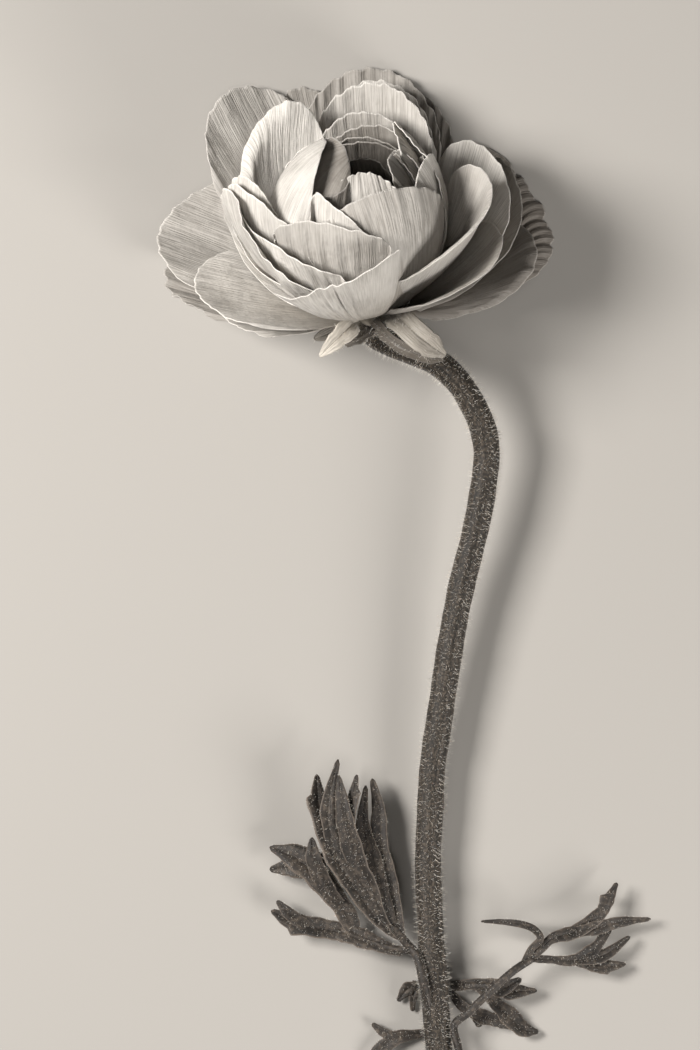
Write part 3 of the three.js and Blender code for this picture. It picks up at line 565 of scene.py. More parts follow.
right_petals = [
    dict(rim=[(11.5, 58, 24), (18.5, 69, 16), (21.5, 75.5, 21), (23.5, 78.5, 27), (27, 79, 33),
              (30, 75.5, 37), (30, 71, 40.5), (26, 65, 44), (19.5, 59, 46), (14, 55, 45), (8.5, 53, 40)],
         full=(0.7, 0.35), shade=0.58, deep=1.6, lip=0.2, roll=(70, 0.06, 45, 50)),
    dict(rim=[(13, 54.5, 22), (20, 60, 15), (25, 65, 19), (28, 67, 25), (31, 66.5, 31), (33, 63, 35),
              (31, 57.5, 38.5), (25.5, 53, 40.5), (19, 49.5, 41), (13.5, 48, 39), (9, 47.5, 34)],
         full=(0.7, 0.45), shade=0.4, deep=2.4, lip=0.2, roll=(60, 0.06, 45, 50)),
    dict(rim=[(12.5, 60, 14), (17, 71.5, 8), (19.5, 81, 10), (22.5, 85, 12), (27, 85.5, 15.5),
              (31.5, 82, 18.5), (34.5, 76.5, 21.5), (35, 70, 24), (33, 63, 25), (26.5, 54.5, 24),
              (16.5, 49, 22)], full=(0.7, 0.7), shade=0.9, deep=1.0, lip=0.4, crinkle=0.2),
    dict(rim=[(14.5, 60, 9), (20, 72, 4.5), (27, 81, 5), (32.5, 82.5, 8), (36, 79, 11.5),
              (38, 71.5, 15.5), (36, 63.5, 19), (31.5, 57.5, 21.5), (25, 52, 22), (15.5, 48, 21)],
         full=(0.7, 0.7), shade=0.3, deep=2.2, lip=0.6),
    dict(rim=[(15.5, 59, 7), (19, 72, 2.5), (23, 82.5, 2), (28, 87, 1.5), (34, 84.5, 1.5),
              (39, 79.5, 1), (44, 72.5, 1), (45.5, 65.5, 1), (43, 59, 3), (33.5, 52.5, 8), (19, 49, 15)],
         full=(0.6, 0.6), shade=0.12, deep=2.8, ruffle=0.5, ragged=1.0, lip=0.2, crinkle=0.5,
         crumple=0.25, pleat=(0.3, 71, 5, 65), columns=216, roll=(60, 0.16, 10, 70)),
    dict(rim=[(15.5, 52.5, 13), (23.5, 59, 6), (31.5, 66, 4.5), (37.5, 68, 7), (41, 64.5, 11),
              (41.5, 60, 14), (38.5, 55, 16), (33.5, 50.5, 17), (26.5, 47.5, 17.5), (20, 46, 17.5),
              (14, 46.5, 18)], full=(0.6, 0.6), shade=0.25, deep=3, lip=0.2, crinkle=0.25,
         roll=(80, 0.1, 40, 60)),
    dict(rim=[(8, 50, 26), (9.5, 54.5, 28), (11.5, 58, 27), (14, 57, 25), (14, 52.5, 26), (13, 49, 27)],
         full=(0.5, 0.5), shade=0.6, lip=0, ruffle=0.1),
]
layers = {
    "petals_heart": heart_petals,
    "petals_cup": cup_petals,
    "petals_back": back_petals,
    "petals_left": left_petals,
    "petals_front": front_petals,
    "petals_right": right_petals,
}
print(sum(len(layer) for layer in layers.values()), "petals in", len(layers), "layers")

# %% [markdown]
# Petal tissue is thin and lets light through, with fine veins that show as darker, slightly sunken
# lines. Plain paint would look like plastic. So the shader mixes a soft surface with light passing
# through, and draws the veins from the petal's own UV map, where they fan out with the grid.

# %% Helpers for materials


def new_material(name):
    """A node material, its tree and its main shader."""
    material = bpy.data.materials.new(name)
    material.use_nodes = True
    return material, material.node_tree, material.node_tree.nodes["Principled BSDF"]


def add(tree, kind, values=None, **settings):
    """A node of that kind with its settings and unlinked input values."""
    node = tree.nodes.new(kind)
    for key, value in settings.items():
        setattr(node, key, value)
    for key, value in (values or {}).items():
        node.inputs[key].default_value = value
    return node


def wire(tree, *pairs):
    """Links each (from socket, to socket) pair."""
    for source, target in pairs:
        tree.links.new(source, target)


def feed(tree, source, target):
    """Links the target socket to the source, or sets it where the source is a plain number."""
    if isinstance(source, (int, float)):
        target.default_value = source
    else:
        tree.links.new(source, target)


def math_of(tree, operation, first, second, clamp=False):
    """The sum, difference or product of two sockets, or of a socket and a number."""
    node = add(tree, "ShaderNodeMath", operation=operation, use_clamp=clamp)
    feed(tree, first, node.inputs[0])
    feed(tree, second, node.inputs[1])
    return node.outputs[0]


def spanned(tree, value, low, high, new_low=0.0, new_high=1.0, **settings):
    """The value, carried over from the range low to high into the range new_low to new_high."""
    node = add(tree, "ShaderNodeMapRange", {"From Min": low, "From Max": high}, **settings)
    feed(tree, new_low, node.inputs["To Min"])
    feed(tree, new_high, node.inputs["To Max"])
    feed(tree, value, node.inputs["Value"])
    return node.outputs["Result"]


def between(tree, factor, low, high):
    """low where the factor is 0 and high where it is 1, and further on for a factor past 1."""
    return spanned(tree, factor, 0.0, 1.0, low, high, clamp=False)


# %% [markdown]
# Two kinds of noise give every surface its life: even noise in the object's own coordinates, for
# blotches and grain, and noise that is stretched over the piece's UV map, for veins and ribs.

# %% Helpers for noise, colour and relief


def noise_on(tree, scale, detail):
    """Even noise in the object's own coordinates."""
    place = add(tree, "ShaderNodeTexCoord")
    noise = add(tree, "ShaderNodeTexNoise", {"Scale": scale, "Detail": detail})
    wire(tree, (place.outputs["Object"], noise.inputs["Vector"]))
    return noise.outputs["Fac"]


def noise_along(tree, scale, detail, roughness):
    """Noise stretched over the piece's UV map, which follows the blade."""
    uv = add(tree, "ShaderNodeUVMap", uv_map="blade")
    stretch = add(tree, "ShaderNodeMapping", {"Scale": (*scale, 1.0)})
    noise = add(tree, "ShaderNodeTexNoise", {"Scale": 1.0, "Detail": detail, "Roughness": roughness})
    wire(tree,
         (uv.outputs["UV"], stretch.inputs["Vector"]),
         (stretch.outputs["Vector"], noise.inputs["Vector"]))
    return noise.outputs["Fac"]


def toned(tree, value, stops):
    """The colour that a ramp with (position, colour) stops gives for the value."""
    node = tree.nodes.new("ShaderNodeValToRGB")
    elements = node.color_ramp.elements
    while len(elements) < len(stops):
        elements.new(0.5)
    for element, (position, color) in zip(elements, stops):
        element.position = position
        element.color = (*color, 1)
    wire(tree, (value, node.inputs["Fac"]))
    return node.outputs["Color"]


def multiplied(tree, first, second, share):
    """The first colour with a share of its product with the second."""
    mix = add(tree, "ShaderNodeMix", {"Factor": share}, data_type="RGBA", blend_type="MULTIPLY")
    wire(tree, (first, mix.inputs["A"]), (second, mix.inputs["B"]))
    return mix.outputs["Result"]


def relief(tree, shader, height, strength, depth):
    """Gives the shader a bump from the height, depth metres deep, and returns its normal."""
    bump = add(tree, "ShaderNodeBump", {"Strength": strength, "Distance": depth})
    wire(tree, (height, bump.inputs["Height"]), (bump.outputs["Normal"], shader.inputs["Normal"]))
    return bump.outputs["Normal"]


def set_gloss(shader, roughness, specular, sheen):
    """How dull the surface is, how much it mirrors and how downy it looks."""
    shader.inputs["Roughness"].default_value = roughness
    shader.inputs["Specular IOR Level"].default_value = specular
    shader.inputs["Sheen Weight"].default_value = sheen
    shader.inputs["Sheen Roughness"].default_value = 0.4


# %% [markdown]
# A petal's veins are noise that is stretched from claw to margin. Its scale round the margin is in
# millimetres, so that wide and narrow petals have veins of one width, and each petal has its own noise.

# %% The petals' veins


def vein_plane(tree, margin_length):
    """A vector with the distance round the margin in mm and the place from claw to margin."""
    uv = add(tree, "ShaderNodeUVMap", uv_map="blade")
    apart = add(tree, "ShaderNodeSeparateXYZ")
    pair = add(tree, "ShaderNodeCombineXYZ")
    wire(tree, (uv.outputs["UV"], apart.inputs[0]), (apart.outputs["Y"], pair.inputs["Y"]))
    round_margin = math_of(tree, "MULTIPLY", apart.outputs["X"], margin_length)
    wire(tree, (round_margin, pair.inputs["X"]))
    return pair.outputs[0]


def streaks(tree, plane, seed, scale, detail, low, high):
    """Noise stretched along the veins, as grey from 0 at low to 1 at high."""
    stretch = add(tree, "ShaderNodeMapping", {"Scale": (*scale, 1.0)})
    noise = add(tree, "ShaderNodeTexNoise", {"Scale": 1.0, "Detail": detail, "Roughness": 0.6},
                noise_dimensions="4D")
    wire(tree,
         (plane, stretch.inputs["Vector"]),
         (stretch.outputs["Vector"], noise.inputs["Vector"]),
         (seed, noise.inputs["W"]))
    return spanned(tree, noise.outputs["Fac"], low, high)


# %% [markdown]
# The tone of a petal is a product. It starts from the petal's shade, its tone with painted shade or
# painted light on many petals, and is varied by blotches, by broad streaks and by the fine veins,
# which are fainter where a blotch is. It is a little darker on the inner face and falls off towards
# the claw, most on the inner face, as painted shade, and the very margin is paler, as a painted highlight.

# %% The petals' material
# Darker and warmer towards the claw: partly the claw's own colour, partly painted shade.
CLAW_STOPS = [(0.0, (0.62, 0.58, 0.5)), (0.35, (0.9, 0.88, 0.85)), (0.7, (1, 1, 1)), (1.0, (1, 1, 1))]


def petal_tone(tree, read, fine, broad, blotch, vein_depth, inner):
    """Grey from 0, dark, to 1, light, all over a petal."""
    # The shade is the petal's own tone and, on many petals, painted shade or painted light.
    tone = math_of(tree, "MULTIPLY", read["shade"], between(tree, blotch, 0.85, 1.15))
    # A little darker on the inner face, more where deep is larger: painted shade.
    tone = math_of(tree, "MULTIPLY", tone, between(tree, read["inside"], 1.0, inner))
    tone = math_of(tree, "MULTIPLY", tone, between(tree, broad, 0.95, 1.04), clamp=True)
    in_a_vein = spanned(tree, blotch, 0.35, 0.65, 1.0 - vein_depth, 1.0 - 0.35 * vein_depth)
    tone = math_of(tree, "MULTIPLY", tone, spanned(tree, fine, 0.0, 1.0, in_a_vein, 1.0))
    # Painted shade: darker towards the claw, most on the inner face.
    shade_at_claw = between(tree, read["inside"], 0.75, 0.4)
    claw_shade_fall = spanned(tree, read["along"], 0.1, 0.75, shade_at_claw, 1.0, interpolation_type="SMOOTHSTEP")
    tone = math_of(tree, "MULTIPLY", tone, claw_shade_fall)
    # Painted highlight: a paler line along the very margin.
    margin_highlight = spanned(tree, read["along"], 0.99, 1.0, 0.0, 0.3)
    return math_of(tree, "ADD", tone, margin_highlight, clamp=True)


def petal_material(name, light, dark, spacing=0.36, vein_depth=0.42, through=0.2, inner=0.95):
    """Ivory tissue between a light and a dark tone, with fanning veins and some light through it.

    spacing is the distance between veins at the margin in mm, and inner the painted shade tone of the inner
    face."""
    material, tree, shader = new_material(name)
    read = {key: add(tree, "ShaderNodeAttribute", attribute_name=key).outputs["Fac"]
            for key in ("seed", "shade", "along", "margin", "inside")}
    plane = vein_plane(tree, read["margin"])
    fine = streaks(tree, plane, read["seed"], (1.0 / spacing, 6.0), 1.5, 0.38, 0.6)
    broad = streaks(tree, plane, read["seed"], (0.1 / spacing, 3.5), 2.0, 0.3, 0.7)
    blotch = noise_on(tree, 130.0, 3.0)
    tone = petal_tone(tree, read, fine, broad, blotch, vein_depth, inner)
    color = add(tree, "ShaderNodeMix", {"A": (*dark, 1), "B": (*light, 1)}, data_type="RGBA")
    wire(tree, (tone, color.inputs["Factor"]))
    tissue = multiplied(tree, color.outputs["Result"], toned(tree, read["along"], CLAW_STOPS), 1.0)
    crumples = math_of(tree, "MULTIPLY", noise_on(tree, 420.0, 2.0), 4.0)
    normal = relief(tree, shader, math_of(tree, "ADD", fine, crumples), 0.5, 0.00016)
    set_gloss(shader, 0.48, 0.3, 0.1)
    glow = add(tree, "ShaderNodeBsdfTranslucent")
    both = add(tree, "ShaderNodeMixShader", {"Fac": through})
    output = tree.nodes["Material Output"]
    wire(tree,
         (tissue, shader.inputs["Base Color"]), (tissue, glow.inputs["Color"]),
         (normal, glow.inputs["Normal"]),
         (shader.outputs[0], both.inputs[1]), (glow.outputs[0], both.inputs[2]),
         (both.outputs[0], output.inputs["Surface"]))
    print(f"{name}: {len(tree.nodes)} nodes, a vein every {spacing} mm")
    return material


petal_tissue = petal_material("petal_tissue", (0.86, 0.83, 0.785), (0.13, 0.11, 0.09))

# %% [markdown]
# Each layer becomes one piece with all its petals in it, and all layers stand for the one solid of
# the bloom.

# %% Make the layers
PETAL_ROWS, PETAL_COLUMNS = 36, 108
seed = 1
for name, petals in layers.items():
    bodies = []
    for petal in petals:
        bodies.append(petal_body(petal, seed, PETAL_ROWS, petal.get("columns", PETAL_COLUMNS)))
        seed += 1
    points, faces, uvs, numbers = stack(bodies)
    dress(link_piece(name, mesh_from(name, points, faces, uvs, numbers, petal_tissue)), "bloom")

# %% [markdown]
# The receptacle is the small knob that all petals grow from. It is hidden, but light passes between
# the claws, so a plain lathe-like knob closes the middle. It takes the petals' own tissue.

# %% The receptacle
KNOB_RADIUS = 3.9
KNOB_STEPS = 12
TURNED_SIDES = 32
PLAIN_MARGIN = 30.0


def axis_frame():
    """Two directions square to the bloom's axis."""
    side = unit(np.cross([0, 0, 1.0], AXIS))
    return side, np.cross(AXIS, side)


def turned(profile):
    """A closed body turned from (radius, height along the bloom's axis) pairs, pole to pole."""
    side, up = axis_frame()
    sides = TURNED_SIDES
    points, faces = [RECEPTACLE + profile[0][1] * AXIS], []
    for radius, height in profile[1:-1]:
        for k in range(sides):
            a = 2 * math.pi * k / sides
            round_axis = math.cos(a) * side + math.sin(a) * up
            points.append(RECEPTACLE + height * AXIS + radius * round_axis)
    points.append(RECEPTACLE + profile[-1][1] * AXIS)
    last, rings = len(points) - 1, len(profile) - 2
    for k in range(sides):
        n = (k + 1) % sides
        faces.append((0, 1 + n, 1 + k))
        faces.append((last, last - sides + k, last - sides + n))
        for r in range(rings - 1):
            a, b = 1 + r * sides, 1 + (r + 1) * sides
            faces.append((a + k, a + n, b + n, b + k))
    return np.array(points), faces


def plain_numbers(count, along, shade):
    """The numbers that the petals' shader reads, the same all over a plain piece."""
    values = {"along": along, "shade": shade, "seed": 0.0, "margin": PLAIN_MARGIN, "inside": 0.0}
    return {key: np.full(count, value) for key, value in values.items()}


steps = [math.pi * k / KNOB_STEPS for k in range(KNOB_STEPS + 1)]
points, faces = turned([(KNOB_RADIUS * math.sin(a), -KNOB_RADIUS * math.cos(a)) for a in steps])
knob = mesh_from("receptacle", points, faces, np.full((len(points), 2), 0.3),
                 plain_numbers(len(points), 0.1, 0.6), petal_tissue)
dress(link_piece("receptacle", knob), "bloom")

# %% [markdown]
# In the middle of the bloom a ring of dark stamens stands round a cone of small carpels, deep in the
# cup. Geometry Nodes will set the carpels on the cone, the stamens on their ring and the hairs on the
# skin, because a pattern of repeats over a surface is just what they are good at.

# %% Helpers for node trees that make geometry


def new_tree(name, sizes):
    """A geometry tree with named number inputs, and its group input and output nodes."""
    tree = bpy.data.node_groups.new(name, "GeometryNodeTree")
    tree.interface.new_socket("Geometry", in_out="INPUT", socket_type="NodeSocketGeometry")
    tree.interface.new_socket("Geometry", in_out="OUTPUT", socket_type="NodeSocketGeometry")
    for key, value in sizes.items():
        kind = "NodeSocketInt" if isinstance(value, int) else "NodeSocketFloat"
        socket = tree.interface.new_socket(key, in_out="INPUT", socket_type=kind)
        socket.default_value = value
    return tree, tree.nodes.new("NodeGroupInput"), tree.nodes.new("NodeGroupOutput")


def grown(source, tree, sizes, name):
    """The mesh that the tree makes from the source object, which is then removed."""
    modifier = source.modifiers.new("grow", "NODES")
    modifier.node_group = tree
    identifiers = {item.name: item.identifier for item in tree.interface.items_tree
                   if item.in_out == "INPUT"}
    for key, value in sizes.items():
        modifier[identifiers[key]] = value
    bpy.context.view_layer.update()
    evaluated = source.evaluated_get(bpy.context.evaluated_depsgraph_get())
    mesh = bpy.data.meshes.new_from_object(evaluated)
    mesh.name = name
    source.modifiers.remove(modifier)
    bpy.data.objects.remove(source)
    return link_piece(name, mesh)


def scatter_tree(name, material, sizes, mesh_kind, mesh_values):
    """Puts a small shape, Length long, on random points of a surface, Per square metre.

    Each stands on the skin, leaned by up to Lean, and is Smallest to Largest times its size."""
    tree, given, result = new_tree(name, sizes)
    points = add(tree, "GeometryNodeDistributePointsOnFaces", distribute_method="RANDOM")
    shape = add(tree, mesh_kind, mesh_values)
    place = add(tree, "GeometryNodeInstanceOnPoints")
    size = add(tree, "FunctionNodeRandomValue", data_type="FLOAT")
    lean = add(tree, "FunctionNodeRandomValue", data_type="FLOAT_VECTOR")
    low = add(tree, "ShaderNodeCombineXYZ")
    high = add(tree, "ShaderNodeCombineXYZ")
    back = math_of(tree, "MULTIPLY", given.outputs["Lean"], -1.0)
    turn = add(tree, "FunctionNodeRotateRotation", rotation_space="LOCAL")
    real = add(tree, "GeometryNodeRealizeInstances")
    paint = add(tree, "GeometryNodeSetMaterial")
    paint.inputs["Material"].default_value = material
    size_ends = [s for s in size.inputs if s.type == "VALUE"]
    lean_ends = [s for s in lean.inputs if s.type == "VECTOR"]
    size_out = [s for s in size.outputs if s.type == "VALUE"][0]
    lean_out = [s for s in lean.outputs if s.type == "VECTOR"][0]
    wire(tree,
         (given.outputs["Geometry"], points.inputs["Mesh"]),
         (given.outputs["Per square metre"], points.inputs["Density"]),
         (given.outputs["Seed"], points.inputs["Seed"]),
         (given.outputs["Seed"], size.inputs["Seed"]),
         (given.outputs["Seed"], lean.inputs["Seed"]),
         (given.outputs["Smallest"], size_ends[0]),
         (given.outputs["Largest"], size_ends[1]),
         (back, low.inputs["X"]), (back, low.inputs["Y"]),
         (given.outputs["Lean"], high.inputs["X"]), (given.outputs["Lean"], high.inputs["Y"]),
         (low.outputs[0], lean_ends[0]), (high.outputs[0], lean_ends[1]),
         (given.outputs["Length"], shape.inputs["Depth"]),
         (shape.outputs["Mesh"], place.inputs["Instance"]),
         (points.outputs["Points"], place.inputs["Points"]),
         (points.outputs["Rotation"], turn.inputs["Rotation"]),
         (lean_out, turn.inputs["Rotate By"]),
         (turn.outputs["Rotation"], place.inputs["Rotation"]),
         (size_out, place.inputs["Scale"]),
         (place.outputs["Instances"], real.inputs["Geometry"]),
         (real.outputs["Geometry"], paint.inputs["Geometry"]),
         (paint.outputs["Geometry"], result.inputs["Geometry"]))
    return tree


# %% [markdown]
# Stem, leaves and sepals carry short soft hairs that catch the light along their edges. Each hair is a
# thin cone of three sides, leaned at random. There are thousands, so each one stays that simple.

# %% The hairs
POINTS_PER_HAIR = 6
HAIR_CLEARANCE = 0.00002
HAIR_LENGTH = 0.0014


def hair_material(name, color):
    """Pale hair with darker patches, that lets a little light in."""
    material, tree, shader = new_material(name)
    darker = tuple(0.7 * c for c in color)
    tones = toned(tree, noise_on(tree, 900.0, 1.0), [(0.35, darker), (0.65, color)])
    wire(tree, (tones, shader.inputs["Base Color"]))
    shader.inputs["Roughness"].default_value = 0.35
    shader.inputs["Subsurface Weight"].default_value = 0.2
    shader.inputs["Subsurface Radius"].default_value = (0.0005, 0.0004, 0.0003)
    return material


hair_skin = hair_material("hairs", (0.68, 0.64, 0.58))
hair_sizes = {"Per square metre": 1.0e6, "Seed": 3, "Smallest": 0.45, "Largest": 1.0, "Lean": 0.55,
              "Length": HAIR_LENGTH}
hair_tree = scatter_tree("hairs_on_skin", hair_skin, hair_sizes, "GeometryNodeMeshCone",
                         {"Vertices": 3, "Radius Top": 0.000012, "Radius Bottom": 0.00005})


def skin_copy(piece):
    """A copy of the piece's mesh for hairs to grow on."""
    return link_piece(piece.name + "_skin", piece.data.copy())


def add_hairs(piece, node, density, length=HAIR_LENGTH):
    """Hairs on a finished piece, as a piece of their own. One that would reach into the table is raised."""
    sizes = {**hair_sizes, "Per square metre": density, "Length": length}
    hairs = grown(skin_copy(piece), hair_tree, sizes, piece.name + "_hairs")
    co = np.empty(len(hairs.data.vertices) * 3)
    hairs.data.vertices.foreach_get("co", co)
    co = co.reshape(-1, POINTS_PER_HAIR, 3)
    co[..., 2] += np.maximum(HAIR_CLEARANCE - co[..., 2].min(axis=1), 0)[:, None]
    hairs.data.vertices.foreach_set("co", co.ravel())
    hairs.data.update()
    dress(hairs, node)


# %% [markdown]
# The stem is a long curved tube of slightly changing thickness, with fine ridges along it. A Geometry
# Nodes sweep follows its path: a curve, a round section, and a radius for each point of the curve.

# %% The stem's material
RIBS_ROUND = 26.0


def stem_material(name, light, dark):
    """Grey-brown skin with ribs along it and small pale flecks."""
    material, tree, shader = new_material(name)
    ribs = noise_along(tree, (RIBS_ROUND, 5.0), 2.0, 0.55)
    flecks = noise_on(tree, 1900.0, 1.0)
    blotch = noise_on(tree, 90.0, 2.0)
    rib_tone = toned(tree, ribs, [(0.32, dark), (0.68, light)])
    fleck_tone = toned(tree, flecks, [(0.46, (0.55, 0.55, 0.55)), (0.62, (2.2, 2.15, 2.05))])
    blotch_tone = toned(tree, blotch, [(0.3, (0.75, 0.74, 0.72)), (0.7, (1.1, 1.1, 1.1))])
    flecked = multiplied(tree, rib_tone, fleck_tone, 0.8)
    wire(tree, (multiplied(tree, flecked, blotch_tone, 0.8), shader.inputs["Base Color"]))
    relief(tree, shader, math_of(tree, "ADD", ribs, flecks), 0.6, 0.00018)
    set_gloss(shader, 0.6, 0.3, 0.12)
    shader.inputs["Subsurface Weight"].default_value = 0.12
    shader.inputs["Subsurface Radius"].default_value = (0.0012, 0.0008, 0.0005)
    print(f"{name}: {len(tree.nodes)} nodes")
    return material


stem_skin = stem_material("stem_skin", (0.045, 0.037, 0.03), (0.015, 0.012, 0.009))

# %% The stem
STEM_RADIUS = 2.95
STEM_SIDES = 40
STEM_STEPS = 240
stem_path = [
    (4.8, 45, 19.2), (5.6, 42.4, 17.8), (9, 40.5, 17.5), (14, 38.5, 17.5), (19.5, 36, 17),
    (24, 32, 16), (27, 27.5, 15), (29.5, 22, 14), (30.5, 16.5, 13), (30, 10, 12.2),
    (29, 3.5, 11.5), (27.5, -3.5, 10.7),
    (25, -13.5, 9.7), (23, -24, 8.8), (21.5, -33.5, 8), (20, -44, 7.2), (18.5, -54.5, 6.5),
    (18, -64.5, 5.9), (17.5, -75, 5.4), (18, -88.5, 5), (18.5, -98, 4.9), (19.5, -111.5, 4.7),
    (20, -118, 4.4), (20.5, -127, 3.8), (21, -136, 3.35), (21.5, -145, 3.05),
]
swellings = [(-103.5, 9, 0.35), (-134.5, 8, 0.3)]  # place along, reach, height


def sweep_tree():
    """Sweeps a round section along the given curve, keeping its length and turn as a UV map."""
    tree, given, result = new_tree("stem_sweep", {"Sides": STEM_SIDES})
    section = add(tree, "GeometryNodeCurvePrimitiveCircle", {"Radius": 1.0})
    sweep = add(tree, "GeometryNodeCurveToMesh", {"Fill Caps": True})
    along = add(tree, "GeometryNodeSplineParameter")
    round_it = add(tree, "GeometryNodeSplineParameter")
    keep_along = add(tree, "GeometryNodeStoreNamedAttribute", {"Name": "run"}, domain="POINT")
    keep_round = add(tree, "GeometryNodeStoreNamedAttribute", {"Name": "round"}, domain="POINT")
    read_along = add(tree, "GeometryNodeInputNamedAttribute", {"Name": "run"})
    read_round = add(tree, "GeometryNodeInputNamedAttribute", {"Name": "round"})
    pair = add(tree, "ShaderNodeCombineXYZ")
    keep_uv = add(tree, "GeometryNodeStoreNamedAttribute", {"Name": "blade"}, data_type="FLOAT2",
                  domain="CORNER")
    real = add(tree, "GeometryNodeRealizeInstances")
    paint = add(tree, "GeometryNodeSetMaterial")
    paint.inputs["Material"].default_value = stem_skin
    radius = add(tree, "GeometryNodeInputNamedAttribute", {"Name": "radius"})
    smooth = add(tree, "GeometryNodeSetShadeSmooth")
    wire(tree,
         (given.outputs["Geometry"], keep_along.inputs["Geometry"]),
         (along.outputs["Factor"], keep_along.inputs["Value"]),
         (given.outputs["Sides"], section.inputs["Resolution"]),
         (section.outputs["Curve"], keep_round.inputs["Geometry"]),
         (round_it.outputs["Factor"], keep_round.inputs["Value"]),
         (keep_along.outputs["Geometry"], sweep.inputs["Curve"]),
         (keep_round.outputs["Geometry"], sweep.inputs["Profile Curve"]),
         (radius.outputs["Attribute"], sweep.inputs["Scale"]),
         (sweep.outputs["Mesh"], keep_uv.inputs["Geometry"]),
         (read_round.outputs["Attribute"], pair.inputs["X"]),
         (read_along.outputs["Attribute"], pair.inputs["Y"]),
         (pair.outputs[0], keep_uv.inputs["Value"]),
         (keep_uv.outputs["Geometry"], smooth.inputs["Geometry"]),
         (smooth.outputs["Geometry"], real.inputs["Geometry"]),
         (real.outputs["Geometry"], paint.inputs["Geometry"]),
         (paint.outputs["Geometry"], result.inputs["Geometry"]))
    return tree


def stem_radius(y):
    """The stem's radius at a place along it, with a swelling where each leaf leaves it."""
    swell = sum(rise * math.exp(-(((y - at) / reach) ** 2) * 2) for at, reach, rise in swellings)
    return STEM_RADIUS + swell + 0.05 * math.sin(y * 0.37) + 0.04 * math.sin(y * 0.91 + 2)


def stem_curve():
    """A curve object along the stem, in metres, with its radius at each point."""
    path = smooth_path(stem_path, STEM_STEPS)
    curve = bpy.data.curves.new("stem_path", "CURVE")
    curve.dimensions = "3D"
    spline = curve.splines.new("POLY")
    spline.points.add(len(path) - 1)
    for point, place in zip(spline.points, path):
        point.co = (*((place - PART_ORIGIN) / 1000), 1)
        point.radius = stem_radius(place[1]) / 1000
    return link_piece("stem_path", curve)


stem = grown(stem_curve(), sweep_tree(), {"Sides": STEM_SIDES}, "stem_body")
print("stem length (mm):", round(stem.dimensions.y * 1000, 1))
dress(stem, "stem")
add_hairs(stem, "stem", density=2.0e6)

# %% [markdown]
# Leaves are cut into narrow lobes, folded a little along the midrib, with veins sunk into them and
# rolled-down margins with a painted highlight along them. A few lobes have a tooth near the tip.
# Each lobe is one closed thin blade that follows its path.

# %% The leaves' material


def leaf_material(name, light, dark, margin_highlight=0.75):
    """Matt grey-brown leaf, darker in the veins, with fine grain and a painted highlight along its margins.
    """
    material, tree, shader = new_material(name)
    veins = noise_along(tree, (9.0, 5.0), 3.0, 0.6)
    grain = noise_on(tree, 1100.0, 2.0)
    tone = toned(tree, noise_on(tree, 220.0, 3.0), [(0.3, dark), (0.72, light)])
    grain_tone = toned(tree, grain, [(0.47, (0.6, 0.6, 0.6)), (0.64, (2.0, 1.95, 1.85))])
    vein_tone = toned(tree, veins, [(0.4, (0.7, 0.7, 0.7)), (0.6, (1.05, 1.05, 1.05))])
    grained = multiplied(tree, tone, grain_tone, 0.75)
    veined = multiplied(tree, grained, vein_tone, 0.7)
    # Painted highlight: a pale line along each lobe's margins and along one side of each stalk.
    uv = add(tree, "ShaderNodeUVMap", uv_map="blade")
    apart = add(tree, "ShaderNodeSeparateXYZ")
    distance = add(tree, "ShaderNodeMath", operation="ABSOLUTE")
    highlighted_edge = add(tree, "ShaderNodeMix", data_type="RGBA")
    highlighted_edge.inputs["B"].default_value = (*(3.2 * c for c in light), 1)
    wire(tree, (uv.outputs["UV"], apart.inputs["Vector"]))
    wire(tree, (math_of(tree, "SUBTRACT", apart.outputs["X"], 0.5), distance.inputs[0]))
    margin = spanned(tree, distance.outputs[0], 0.42, 0.49, 0.0, margin_highlight)
    wire(tree,
         (margin, highlighted_edge.inputs["Factor"]), (veined, highlighted_edge.inputs["A"]),
         (highlighted_edge.outputs["Result"], shader.inputs["Base Color"]))
    relief(tree, shader, math_of(tree, "ADD", veins, grain), 0.7, 0.0002)
    set_gloss(shader, 0.6, 0.35, 0.12)
    print(f"{name}: {len(tree.nodes)} nodes")
    return material


leaf_skin = leaf_material("leaf_skin", (0.055, 0.045, 0.037), (0.015, 0.012, 0.01))

# %% The shape of a lobe
LEAF_THICK = 0.5
TOOTH_FOOT = 3
TOOTH_NOSE = 0.7


def lobe_width(wide, u, seed):
    """The width at each row: through the given widths, a little uneven, and drawn to a point."""
    spans = len(wide) - 1
    width = np.interp(u, range(spans + 1), wide)
    width = width * (1 + 0.05 * np.sin(u * 5.1 + seed) + 0.04 * np.sin(u * 11.3 + 2 * seed))
    near_tip = np.clip((spans - u) / 0.55, 0, 1)
    return np.minimum(width, wide[-2] * np.sqrt(near_tip) * 1.15 + 0.25)


def lobe_teeth(teeth, centre):
    """What the teeth add to the width at each row, on the left and on the right.

    Each tooth is its distance from the tip, its side (0 left, 1 right) and its size."""
    steps = np.linalg.norm(np.diff(centre, axis=0), axis=1)
    to_tip = np.append(np.cumsum(steps[::-1])[::-1], 0)
    added = np.zeros((2, len(centre)))
    for place, flank, size in teeth:
        rising = np.clip((place + TOOTH_FOOT - to_tip) / TOOTH_FOOT, 0, 1) ** 1.5
        falling = np.clip((to_tip - place + TOOTH_NOSE) / TOOTH_NOSE, 0, 1)
        added[flank] += size * np.where(to_tip > place, rising, falling)
    return added[:, :, None, None]


